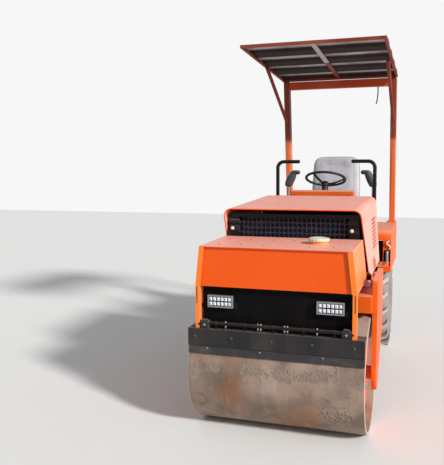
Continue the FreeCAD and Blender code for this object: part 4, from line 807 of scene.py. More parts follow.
def span(start: float, end: float, count: int) -> list[float]:
    """Evenly spaced numbers from start to end."""
    return np.linspace(start, end, count).tolist()


def ring(section: Sequence[tuple[float, float]], sides: int, centre: Sequence[float], axis: Sequence[float]
         ) -> tuple[np.ndarray, np.ndarray]:
    """Closed section of (radius, height) carried round an axis, as a hoop."""
    basis = frame_of(axis)
    angle = np.linspace(0, TAU, sides, endpoint=False)
    radius, height = np.array(section, float).T
    flat = np.stack([radius[:, None] * np.cos(angle), radius[:, None] * np.sin(angle),
                     np.repeat(height[:, None], sides, 1)], -1)
    return flat.reshape(-1, 3) @ basis + np.asarray(centre, float), grid_faces(len(section), sides, True, True)


def oval(reach: float, wide: float, tall: float, count: int, lift: float = 0.0) -> list[tuple[float, float]]:
    """Oval section for ring: its middle's radius, its half sizes and its height."""
    angle = np.linspace(0, TAU, count, endpoint=False)
    return list(zip(reach + wide * np.cos(angle), lift + tall * np.sin(angle)))


def eased(value: np.ndarray, power: float) -> np.ndarray:
    """Power that keeps the sign, for rounded boxes."""
    return np.sign(value) * np.abs(value) ** power


@dataclass
class Pad:
    """Stuffed and sewn pad: a rounded box, crowned in the middle and drawn in at its seams and piping."""

    name: str
    node: str
    centre: Triple
    size: Triple
    lean: float = 0.0
    taper: float = 0.0
    seams: tuple[float, ...] = (-0.56, 0.56)
    cross: tuple[float, ...] = (-0.35, 0.3)
    depth: float = 0.13
    rows: int = 96
    columns: int = 168

    def build(self) -> None:
        """Makes the pad and its piping.

        The pad's own x runs across the seat, y along its face and z out of the face.
        """
        theta = np.linspace(-math.pi / 2, math.pi / 2, self.rows)[:, None]
        phi = np.linspace(0, TAU, self.columns, endpoint=False)[None, :]
        ring_size = eased(np.cos(theta), 0.5)
        a = ring_size * eased(np.cos(phi), 0.34)
        b = ring_size * eased(np.sin(phi), 0.34)
        c = eased(np.sin(theta), 0.55) + 0 * phi
        face = np.clip(c, 0, 1)
        groove = sum(np.exp(-((a - seam) / 0.028) ** 2) for seam in self.seams)
        middle = np.clip(1 - (np.abs(a) / 0.56) ** 6, 0, 1)
        groove = groove + middle * sum(np.exp(-((b - seam) / 0.03) ** 2) for seam in self.cross)
        crown = (1 - 0.16 * (a ** 2 + b ** 2)) * (1 - 0.2 * np.exp(-(a / 0.42) ** 4) * (1 - b ** 2) * 0.6)
        out = c * np.where(c > 0, crown, 0.9) - self.depth * groove * face
        wrinkle = 0.012 * np.sin(a * 19 + np.sin(b * 7) * 2) * np.sin(b * 13) * face * np.exp(-((np.abs(a) - 0.8) / 0.2) ** 2)
        self.add(self.name, a, b, out + wrinkle, True)
        loop = np.linspace(0, TAU, 181)
        edge = np.stack([eased(np.cos(loop), 0.34), eased(np.sin(loop), 0.34), np.full(181, 0.0)], -1) * 0.999
        points, faces = tube(self.place(edge[:, 0], edge[:, 1], edge[:, 2] + 0.12).reshape(-1, 3), 0.0032, 8)
        add_mesh(f"{self.name}_piping", points, faces, Look.GREY_PLASTIC, "rear_frame", "seat_vinyl")

    def place(self, a: np.ndarray, b: np.ndarray, c: np.ndarray) -> np.ndarray:
        """Row-frame places of the pad's own shares, each from -1 to 1."""
        wide, long, thick = (value / 2 for value in self.size)
        x = self.centre[0] + a * wide * (1 - self.taper * (b + 1) / 2)
        turn = self.lean
        if turn == 0.0:
            return np.stack([x, self.centre[1] + b * long, self.centre[2] + c * thick], -1)
        y = self.centre[1] + b * long * math.sin(turn) - c * thick * math.cos(turn)
        z = self.centre[2] + b * long * math.cos(turn) + c * thick * math.sin(turn)
        return np.stack([x, y, z], -1)

    def add(self, name: str, a: np.ndarray, b: np.ndarray, c: np.ndarray, padded: bool) -> None:
        points = self.place(a, b, c).reshape(-1, 3)
        faces = grid_faces(self.rows, self.columns, False, True)
        if self.lean:
            faces = faces[:, ::-1]
        pad = add_mesh(name, points, faces[:, ::-1], Look.VINYL, "rear_frame", "seat_vinyl")
        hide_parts(self.node)


@dataclass
class SteeringWheel:
    """Dished wheel: moulded rim with finger grips, three sloping spokes, a hub and a centre cap."""

    centre: Triple = (0.0, 0.51, 1.70)
    tilt: float = math.radians(22)
    reach: float = 0.182
    grip: float = 0.0128
    dish: float = 0.052

    def build(self) -> None:
        """Makes the wheel in place of the frame's own."""
        axis = np.array([0, math.sin(self.tilt), math.cos(self.tilt)])
        centre = np.array(self.centre)
        basis = frame_of(axis)
        rim = ring(oval(self.reach, self.grip, self.grip * 0.92, 14), 96, centre, axis)
        angle = np.linspace(0, TAU, 96, endpoint=False)
        points = rim[0].reshape(14, 96, 3)
        wave = 0.0011 * np.cos(angle * 32)[None, :, None] * (points - (centre + self.reach * (np.cos(angle)[:, None] * basis[0]
               + np.sin(angle)[:, None] * basis[1]))[None]) / self.grip
        rim_points = (points + wave).reshape(-1, 3)
        made = add_mesh("steering_rim", rim_points, rim[1], Look.PLASTIC, "steering_wheel", "grip_plastic")
        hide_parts("steering_wheel")
        spokes = []
        for turn in (math.radians(90), math.radians(210), math.radians(330)):
            radial = math.cos(turn) * basis[0] + math.sin(turn) * basis[1]
            share = np.linspace(0, 1, 14)
            reach = 0.018 + share * (self.reach - 0.022)
            drop = -self.dish * (1 - share ** 1.7)
            path = centre + reach[:, None] * radial + drop[:, None] * axis
            for side in (-1, 1):
                across = np.cross(axis, radial) * side * 0.009 * (1 - 0.35 * share[:, None])
                spokes.append(tube(path + across, 0.0058, 10))
            spokes.append(tube(path, 0.0046, 8))
        add_mesh("steering_spokes", *joined(spokes), Look.PLASTIC, "steering_wheel", "grip_plastic")
        hub = turned([(0.034, -0.078), (0.036, -0.062), (0.036, -0.046), (0.033, -0.040), (0.026, -0.034), (0.010, -0.030),
                      (0.001, -0.0295)], 40, centre, axis)
        cap = turned([(0.0235, -0.036), (0.0235, -0.029), (0.020, -0.0255), (0.004, -0.024)], 32, centre, axis)
        add_mesh("steering_hub", *hub, Look.PLASTIC, "steering_wheel", "grip_plastic")
        add_mesh("steering_cap", *cap, Look.GREY_PLASTIC, "steering_wheel", "grip_plastic")


@dataclass
class LeverGrips:
    """Moulded grips, bellows and guide plates of the two travel levers."""

    side: float = 0.372
    reach: float = 0.780
    top: float = 1.760

    def build(self) -> None:
        """Makes the grips."""
        grips, caps, boots, plates = [], [], [], []
        for sign in (-1, 1):
            share = np.linspace(0, 1, 22)
            x = sign * (0.412 - 0.052 * share ** 1.5)
            z = self.top - 0.148 + share * 0.152
            y = self.reach - 0.006 + 0.012 * np.sin(share * math.pi)
            size = 0.021 + 0.012 * np.sin(np.clip(share * 1.15, 0, 1) * math.pi) ** 0.7
            size[0], size[-1] = 0.012, 0.014
            points, faces = tube(np.stack([x, y, z], -1), size, 18)
            points[:, 0] = sign * 0.39 + (points[:, 0] - sign * 0.39) * 1.35
            grips.append((points, faces))
            grips.append(block((min(sign * 0.30, sign * 0.385), self.reach - 0.020, self.top - 0.026),
                               (max(sign * 0.30, sign * 0.385), self.reach + 0.020, self.top + 0.016), 0.012))
            for number in range(3):
                caps.append(turned([(0.007, 0), (0.007, 0.003), (0.005, 0.0045)], 14,
                                   (sign * (0.322 + 0.022 * number), self.reach - 0.0202, self.top - 0.005), (0, -1, 0)))
            foot = np.array([sign * 0.29, self.reach, 0.90])
            rings = [(0.046 - 0.0042 * n + (0.006 if n % 2 else 0.0), 0.006 + 0.011 * n) for n in range(9)]
            boots.append(turned(rings, 24, foot, (0, 0, 1)))
            plates.append(block((sign * 0.29 - 0.06, self.reach - 0.085, 0.8995), (sign * 0.29 + 0.06, self.reach + 0.085, 0.906), 0.002))
        add_mesh("lever_grips", *joined(grips), Look.GREY_PLASTIC, "rear_frame", "grip_plastic")
        add_mesh("lever_buttons", *joined(caps), Look.PLASTIC, "rear_frame", "grip_plastic", False)
        add_mesh("lever_boots", *joined(boots), Look.PLASTIC, "rear_frame", "grip_plastic")
        add_mesh("lever_plates", *joined(plates), Look.WORN_BLACK, "rear_frame", "black_paint", False)
        bolts("lever_plate_bolts", [(sign * 0.29 + dx, self.reach + dy, 0.906) for sign in (-1, 1) for dx in (-0.048, 0.048)
                                    for dy in (-0.07, 0.07)], (0, 0, 1), 0.008, "rear_frame")


@dataclass
class Dash:
    """Blank gauges, switches, warning lamps, key and bolts of the dash."""

    face: float = 0.475
    low: float = 1.452
    high: float = 1.562

    def build(self) -> None:
        """Makes the dash's fittings on its sloping rear face."""
        plate = block((-0.255, self.face - 0.0005, self.low + 0.004), (0.255, self.face + 0.0025, self.high - 0.008), 0.001)
        add_mesh("dash_plate", *plate, Look.PANEL, "rear_frame", "black_paint", False)
        bezels, dials, needles, switches, lamps = [], [], [], [], []
        middle = (self.low + self.high) / 2
        for x in (-0.195, -0.125, 0.125, 0.195):
            radius = 0.028
            bezels.append(ring([(radius, 0.0), (radius + 0.004, 0.0), (radius + 0.004, 0.006), (radius + 0.001, 0.008),
                                (radius - 0.001, 0.006), (radius - 0.001, 0.002)], 36, (x, self.face + 0.002, middle + 0.006), (0, 1, 0)))
            dials.append(turned([(radius, 0), (radius, 0.0022)], 36, (x, self.face + 0.0022, middle + 0.006), (0, 1, 0)))
            needles.append(tube([(x, self.face + 0.0058, middle + 0.006), (x + 0.012, self.face + 0.0058, middle + 0.022)], 0.0011, 6))
            needles.append(turned([(0.0034, 0), (0.0034, 0.002)], 14, (x, self.face + 0.0045, middle + 0.006), (0, 1, 0)))
        for number, x in enumerate((-0.075, -0.045, -0.015)):
            switches.append(block((x - 0.009, self.face + 0.001, middle - 0.016), (x + 0.009, self.face + 0.007, middle + 0.018), 0.0025))
            lamps.append(turned([(0.0045, 0), (0.0045, 0.002), (0.003, 0.0035)], 14, (x, self.face + 0.0025, middle + 0.032), (0, 1, 0)))
        switches.append(turned([(0.013, 0), (0.013, 0.005), (0.010, 0.007)], 24, (0.04, self.face + 0.002, middle), (0, 1, 0)))
        switches.append(turned([(0.010, 0), (0.011, 0.010), (0.008, 0.016)], 6, (0.078, self.face + 0.002, middle), (0, 1, 0)))
        key = [block((0.0385, self.face + 0.008, middle - 0.006), (0.0415, self.face + 0.024, middle + 0.006), 0.001),
               turned([(0.011, -0.0016), (0.011, 0.0016)], 20, (0.040, self.face + 0.030, middle), (1, 0, 0))]
        add_mesh("dash_bezels", *joined(bezels), Look.STEEL, "rear_frame", "bare_steel")
        add_mesh("dash_dials", *joined(dials), Look.GLASS, "rear_frame", "grip_plastic", False)
        add_mesh("dash_needles", *joined(needles), Look.PALE_BOLT, "rear_frame", "grip_plastic", False)
        add_mesh("dash_switches", *joined(switches), Look.GREY_PLASTIC, "rear_frame", "grip_plastic", False)
        add_mesh("dash_lamps", *joined(lamps), Look.AMBER, "rear_frame", "grip_plastic", False)
        add_mesh("dash_key", *joined(key), Look.STEEL, "rear_frame", "bare_steel", False)
        bolts("dash_bolts", [(x, 0.2952, z) for x in (-0.25, 0.25) for z in (1.505, 1.565)], (0, -1, 0), 0.008, "rear_frame")


@dataclass
class WheelTrim:
    """Nuts, hub cap, weld bead and valve of each wheel, which turn with it."""

    face: float = 0.030
    middle: float = 0.475
    axle_y: float = 1.02
    axle_z: float = 0.45

    def build(self) -> None:
        """Makes both wheels' trim."""
        for side, sign in (("left", -1), ("right", 1)):
            body, out = f"wheel_{side}", (sign, 0, 0)
            disc = sign * (self.middle - 0.008)
            centre = np.array([disc, self.axle_y, self.axle_z])
            angles = np.linspace(0, TAU, 8, endpoint=False) + 0.2
            nuts = joined(hex_bolt(centre + (sign * 0.0, 0.098 * math.cos(a), 0.098 * math.sin(a)), out, 0.0125) for a in angles)
            add_mesh(f"wheel_nuts_{side}", *nuts, Look.BOLT, body, "bare_steel", False)
            hub = turned([(0.072, -0.004), (0.072, 0.008), (0.066, 0.012), (0.062, 0.034), (0.056, 0.042), (0.02, 0.046),
                          (0.004, 0.0465)], 44, centre, out)
            add_mesh(f"hub_cap_{side}", *hub, Look.ORANGE, body, "orange_paint", False)
            stem = tube([centre + (sign * 0.002, 0.158, 0.0), centre + (sign * 0.022, 0.162, 0.0), centre + (sign * 0.04, 0.17, 0.0)], 0.0045, 10)
            cap = turned([(0.006, 0), (0.006, 0.012), (0.004, 0.014)], 12, centre + (sign * 0.04, 0.17, 0.0), (sign, 0.3, 0))
            add_mesh(f"valve_{side}", *joined([stem, cap]), Look.PLASTIC, body, "grip_plastic")
            bead = ring(oval(0.176, 0.004, 0.004, 8, 0.0), 72, centre, out)
            add_mesh(f"rim_bead_{side}", *bead, Look.ORANGE, body, "orange_paint")


@dataclass
class DrumTrim:
    """Clay crumbs stuck to the drum, and the bolts and hubs of its heads."""

    axis_y: float = -1.18
    axis_z: float = 0.42
    radius: float = 0.42
    head: float = 0.538
    seed: int = 7

    def build(self) -> None:
        """Makes crumbs in patches and the heads' fittings."""
        rng = np.random.default_rng(self.seed)
        patches = ((-0.57, 9, 0.04, 5.0, 90), (-0.41, 9, 0.045, 3.2, 90), (-0.13, 9.5, 0.07, 3.6, 300), (0.08, 8, 0.08, 3.2, 150),
                   (0.25, 8.5, 0.08, 3.8, 300), (0.35, 13, 0.05, 3.0, 110), (0.42, 19, 0.012, 5.0, 40), (0.42, -28, 0.09, 9.0, 120), (-0.05, 150, 0.3, 16.0, 160),
                   (0.3, 205, 0.2, 14.0, 120), (-0.35, 260, 0.2, 14.0, 90))
        x, turn, size = [], [], []
        for middle, degrees, wide, tall, count in patches:
            x.append(np.clip(rng.normal(middle, wide * 0.6, count), -0.585, 0.585))
            turn.append(np.radians(rng.normal(degrees, tall * 0.6, count)))
            size.append(rng.gamma(2.0, 0.0023, count) + 0.002)
        x, turn, size = np.concatenate(x), np.concatenate(turn), np.clip(np.concatenate(size), 0.002, 0.011)
        height = np.minimum(size * 0.5, 0.004)
        nearest = np.maximum(np.abs(np.cos(turn)), np.abs(np.sin(turn)))
        room = self.radius / nearest - self.radius - 0.0003
        keep = room > 0.0008
        x, turn, size, height = (value[keep] for value in (x, turn, size, np.minimum(height, room)))
        count = len(x)
        corner = np.array([(1, 0, 0), (0.4, 0.9, 0), (-0.6, 0.75, 0), (-1, -0.1, 0), (-0.4, -0.9, 0), (0.6, -0.8, 0),
                           (0.45, 0.1, 0.8), (-0.15, 0.45, 1.0), (-0.3, -0.35, 0.85)])
        jitter = 1 + 0.35 * rng.standard_normal((count, 9, 3)) * (1, 1, 0.25)
        local = corner[None] * jitter
        spin = rng.uniform(0, TAU, count)[:, None]
        u = (local[..., 0] * np.cos(spin) - local[..., 1] * np.sin(spin)) * size[:, None]
        v = (local[..., 0] * np.sin(spin) + local[..., 1] * np.cos(spin)) * size[:, None]
        w = np.clip(local[..., 2], 0, 1.0) * height[:, None] - (local[..., 2] == 0) * 0.0006
        bearing = turn[:, None] + v / self.radius
        points = np.stack([x[:, None] + u, self.axis_y - (self.radius + w) * np.cos(bearing),
                           self.axis_z + (self.radius + w) * np.sin(bearing)], -1).reshape(-1, 3)
        points[:, 1] = np.maximum(points[:, 1], self.axis_y - self.radius + 0.0002)
        points[:, 2] = np.maximum(points[:, 2], 0.0002)
        shell = [(0, 1, 6), (1, 7, 6), (1, 2, 7), (2, 3, 7), (3, 8, 7), (3, 4, 8), (4, 5, 8), (5, 6, 8), (5, 0, 6), (6, 7, 8)]
        faces = (np.array(shell)[None] + 9 * np.arange(count)[:, None, None]).reshape(-1, 3)
        add_mesh("drum_clay", points, faces[:, ::-1], Look.CLAY, "drum", "drum_steel", False)
        beads, heads, greased = [], [], []
        for sign in (-1, 1):
            centre = (sign * self.head, self.axis_y, self.axis_z)
            beads.append(ring(oval(0.3985, 0.005, 0.005, 8, 0.0), 96, centre, (sign, 0, 0)))
            for angle in np.linspace(0, TAU, 8, endpoint=False) + 0.3:
                heads.append(hex_bolt((sign * 0.558, self.axis_y + 0.082 * math.cos(angle), self.axis_z + 0.082 * math.sin(angle)), (sign, 0, 0), 0.0085))
            for angle in (0.9, 2.5, 4.1, 5.6):
                place = (sign * self.head, self.axis_y + 0.30 * math.cos(angle), self.axis_z + 0.30 * math.sin(angle))
                greased.append(turned([(0.022, -0.001), (0.022, 0.006), (0.014, 0.007), (0.013, 0.016), (0.010, 0.018)], 22, place, (sign, 0, 0)))
        add_mesh("drum_head_beads", *joined(beads), Look.ORANGE, "drum", "orange_paint")
        add_mesh("drum_head_bolts", *joined(heads), Look.BOLT, "drum", "bare_steel", False)
        add_mesh("drum_plugs", *joined(greased), Look.BOLT, "drum", "bare_steel", False)


@dataclass
class HoodTrim:
    """Louvre lids, handle, latches, hinge pins and the seal under the hood's rear edge."""

    slope: float = 0.084
    wide: float = 0.543
    pitch: float = 0.032
    top: float = 1.400

    def side(self, z: float) -> float:
        """How far out the hood's side stands at a height."""
        return self.wide - self.slope * (z - 1.0)

    def build(self) -> None:
        """Makes the hood's trim."""
        lids, pins, latches, pulls = [], [], [], []
        for sign in (-1, 1):
            for number in range(8):
                z = self.top + 0.006 - number * self.pitch
                x = self.side(z)
                angle = np.linspace(0, math.pi / 2, 6)
                profile = np.concatenate([np.stack([0.009 * np.sin(angle), 0.009 * np.cos(angle)], -1),
                                          np.stack([0.0078 * np.sin(angle[::-1]), 0.0078 * np.cos(angle[::-1])], -1)])
                ends = np.array([-0.386, -0.372, -0.088, -0.074])
                scale = np.array([0.12, 1.0, 1.0, 0.12])
                grid = np.stack([np.stack([sign * (x - 0.0008 + profile[:, 0] * s), np.full(12, y), z - 0.003 + profile[:, 1] * s], -1)
                                 for y, s in zip(ends, scale)])
                faces = grid_faces(4, 12, False, True)
                lids.append((grid.reshape(-1, 3), (faces if sign < 0 else faces[:, ::-1]).tolist()))
            x = self.side(1.06)
            latches.append(block((min(sign * (x - 0.004), sign * (x + 0.012)), -0.42, 1.015),
                                 (max(sign * (x - 0.004), sign * (x + 0.012)), -0.38, 1.10), 0.004))
            pulls.append(tube([(sign * self.side(z) + sign * 0.014 * k, -0.40, z) for z, k in ((1.115, 0.0), (1.11, 1.0), (1.08, 1.3), (1.03, 1.0))], 0.0035, 10))
            pins.append(turned([(0.0075, -0.06), (0.0075, 0.06)], 16, (sign * 0.33, 0.122, 1.550), (1, 0, 0)))
            for end in (-1, 1):
                pins.append(turned([(0.0105, 0), (0.0105, 0.004), (0.008, 0.006)], 6, (sign * 0.33 + end * 0.058, 0.122, 1.550), (end, 0, 0)))
        # The lids take the darker beam paint as painted shade for the shadows under them.
        add_mesh("louvre_lids", *joined(lids), Look.BEAM, "hood", "orange_paint")
        add_mesh("hood_latches", *joined(latches), Look.HOOD, "hood", "orange_paint", False)
        add_mesh("hood_latch_bows", *joined(pulls), Look.STEEL, "hood", "bare_steel")
        add_mesh("hinge_pins", *joined(pins), Look.STEEL, "front_frame", "bare_steel")
        seals = [block((-0.44, 0.062, 1.474), (0.44, 0.0695, 1.5505), 0.003)]
        shades = []
        for sign in (-1, 1):
            x0, x1 = sorted((sign * 0.43, sign * 0.476))
            seals.append(block((x0, 0.062, 1.40), (x1, 0.0695, 1.528), 0.003))
            levels = np.array([1.005, 1.12, 1.24, 1.36, 1.47])
            outer = self.side(levels) - 0.0105
            seals.append(self.strip(sign, levels, np.full(5, 0.465), outer, 0.058, 0.0695))
            shades.append(self.strip(sign, levels[1:4] + 0.04, outer[1:4] - 0.004, outer[1:4] - 0.003, -0.388, -0.072))
        for sign in (-1, 1):
            levels = np.linspace(1.0, 1.45, 5)
            seals.append(self.strip(sign, levels, np.full(5, 0.40), self.side(levels) - 0.0125, -0.700, -0.694))
        # A sheet inside the hood top in the painted-shade colour, standing in for the shade under the hood.
        sheet, sides = block((-0.43, -1.02, 1.5205), (0.43, 0.05, 1.5245), 0.0006)
        sheet[:, 2] += 0.0241 * (sheet[:, 1] + 1.051)
        add_mesh("hood_shade_liner", sheet, sides, Look.SHADOW, "hood", "black_paint", False)
        add_mesh("hood_seal", *joined(seals), Look.PLASTIC, "front_frame", "scraper_rubber", False)
        add_mesh("louvre_shades", *joined(shades), Look.SHADOW, "hood", "orange_paint", False)

    def strip(self, sign: int, levels: np.ndarray, inner: np.ndarray, outer: np.ndarray, front: float, back: float
              ) -> tuple[np.ndarray, list[list[int]]]:
        """Upright strip whose inner and outer edges follow the hood's slope.

        Args:
            sign: the machine's side.
            levels: heights at which its edges are given.
            inner: distances of its inner edge from the middle.
            outer: distances of its outer edge from the middle.
            front: its front face.
            back: its rear face.

        Returns:
            Points and faces.
        """
        grid = np.stack([np.stack([sign * x, np.full_like(levels, y), levels], -1)
                         for x, y in ((inner, front), (outer, front), (outer, back), (inner, back))], 1)
        faces = grid_faces(len(levels), 4, False, True)
        faces = (faces if sign > 0 else faces[:, ::-1]).tolist()
        ends = [[3, 2, 1, 0], [4 * len(levels) - 4 + number for number in range(4)]]
        return grid.reshape(-1, 3), faces + [end if sign > 0 else end[::-1] for end in ends]


@dataclass
class EngineTrim:
    """Rocker cover, fan, belt, air filter, muffler and hoses round the engine block."""

    front: float = -0.66
    top: float = 1.385

    def build(self) -> None:
        """Makes what shows when the hood is open."""
        cover = [block((-0.13, -0.60, self.top), (0.13, -0.18, self.top + 0.045), 0.014)]
        cover += [block((-0.134, y - 0.006, self.top), (0.134, y + 0.006, self.top + 0.049), 0.004) for y in span(-0.56, -0.22, 7)]
        cover.append(turned([(0.028, 0), (0.028, 0.014), (0.022, 0.018)], 12, (0.06, -0.25, self.top + 0.044), (0, 0, 1)))
        add_mesh("rocker_cover", *joined(cover), Look.CAST, "front_frame", "cast_grey", False)
        blades = [ring([(0.028, -0.02), (0.034, -0.02), (0.034, 0.02), (0.028, 0.02)], 32, (0, -0.735, 1.22), (0, 1, 0))]
        for angle in np.linspace(0, TAU, 7, endpoint=False):
            c, s = math.cos(angle), math.sin(angle)
            reach = np.array([0.03, 0.09, 0.155])
            wide = np.array([0.018, 0.034, 0.04])
            rows = [(r * c + side * w * -s, -0.735 + side * w * 0.45 + lift, 1.22 + r * s + side * w * c)
                    for r, w in zip(reach, wide) for side, lift in ((-1, -0.0015), (1, -0.0015), (1, 0.0015), (-1, 0.0015))]
            blades.append((np.array(rows), grid_faces(3, 4, False, True).tolist() + [[3, 2, 1, 0], [8, 9, 10, 11]]))
        blades.append(turned([(0.024, -0.05), (0.024, 0.075)], 24, (0, -0.735, 1.22), (0, 1, 0)))
        add_mesh("cooling_fan", *joined(blades), Look.PLASTIC, "front_frame", "grip_plastic", False)
        shroud = ring([(0.175, -0.855), (0.183, -0.855), (0.183, -0.70), (0.175, -0.70)], 56, (0, 0, 1.22), (0, 1, 0))
        add_mesh("fan_shroud", *shroud, Look.PANEL, "front_frame", "black_paint")
        belts = []
        for x, z, radius in ((0.0, 1.07, 0.075), (0.16, 1.20, 0.042), (-0.15, 1.26, 0.05)):
            belts.append(turned([(radius, -0.03), (radius + 0.006, -0.03), (radius - 0.006, -0.019), (radius + 0.006, -0.008),
                                 (radius, -0.006), (radius * 0.4, 0.0)], 36, (x, self.front + 0.004, z), (0, 1, 0)))
        loop = [(0.0, 0.990), (0.06, 1.0), (0.20, 1.175), (0.205, 1.22), (0.17, 1.248), (-0.14, 1.316), (-0.19, 1.29), (-0.2, 1.24), (-0.07, 1.02), (0.0, 0.990)]
        path = np.array([(x, self.front - 0.015, z) for x, z in loop])
        belts.append(tube(path, 0.006, 8))
        add_mesh("belt_drive", *joined(belts), Look.PANEL, "front_frame", "grip_plastic", False)
        filters = [turned([(0.05, -0.155), (0.066, -0.15), (0.07, -0.13), (0.07, 0.06), (0.074, 0.062), (0.074, 0.075), (0.07, 0.078),
                           (0.07, 0.14), (0.06, 0.152), (0.03, 0.155)], 40, (0.335, -0.40, 1.31), (0, 1, 0)),
                   block((0.225, -0.46, 1.24), (0.36, -0.34, 1.256), 0.004), block((0.225, -0.46, 1.18), (0.236, -0.34, 1.256), 0.003)]
        add_mesh("air_filter", *joined(filters), Look.BLACK, "front_frame", "black_paint", False)
        muffler = [turned([(0.022, -0.22), (0.024, -0.17), (0.058, -0.155), (0.06, 0.13), (0.024, 0.15), (0.022, 0.2)], 36, (-0.335, -0.38, 1.22), (0, 1, 0))]
        for y in span(-0.55, -0.25, 4):
            muffler.append(tube([(-0.228, y, 1.33), (-0.265, y, 1.332), (-0.29, y + 0.005, 1.31), (-0.315, y + 0.01, 1.265)], 0.018, 16))
        add_mesh("muffler", *joined(muffler), Look.CAST, "front_frame", "cast_grey")
        bent = np.linspace(0, 1, 20)[:, None]
        start, end = np.array([0.22, -0.858, 1.43]), np.array([0.10, -0.645, 1.355])
        sag = np.array([0.05, -0.02, 0.045])
        hoses = [tube(start + (end - start) * bent + sag * np.sin(bent * math.pi), 0.019, 16)]
        start, end = np.array([-0.24, -0.858, 1.06]), np.array([-0.12, -0.645, 1.12])
        hoses.append(tube(start + (end - start) * bent + sag * np.array([-1, 1, -1]) * np.sin(bent * math.pi), 0.019, 16))
        start, end = np.array([0.335, -0.25, 1.31]), np.array([0.15, -0.19, 1.37])
        hoses.append(tube(start + (end - start) * bent + np.array([0.03, 0.05, 0.02]) * np.sin(bent * math.pi), 0.024, 16))
        add_mesh("engine_hoses", *joined(hoses), Look.PLASTIC, "front_frame", "grip_plastic")
        seams = [ring(oval(0.0205, 0.0022, 0.004, 6), 24, place, axis) for place, axis in
                 (((0.232, -0.835, 1.442), (0.1, 1, 0.2)), ((0.13, -0.668, 1.375), (-0.2, 1, -0.2)), ((-0.252, -0.835, 1.05), (-0.1, 1, 0.2)))]
        add_mesh("hose_clips", *joined(seams), Look.STEEL, "front_frame", "bare_steel")
        block_trim = [block((sign * 0.23 - 0.004, y - 0.03, 1.06), (sign * 0.23 + 0.004, y + 0.03, 1.24), 0.003) for sign in (-1, 1) for y in span(-0.58, -0.18, 5)]
        add_mesh("engine_ribs", *joined(block_trim), Look.CAST, "front_frame", "cast_grey", False)


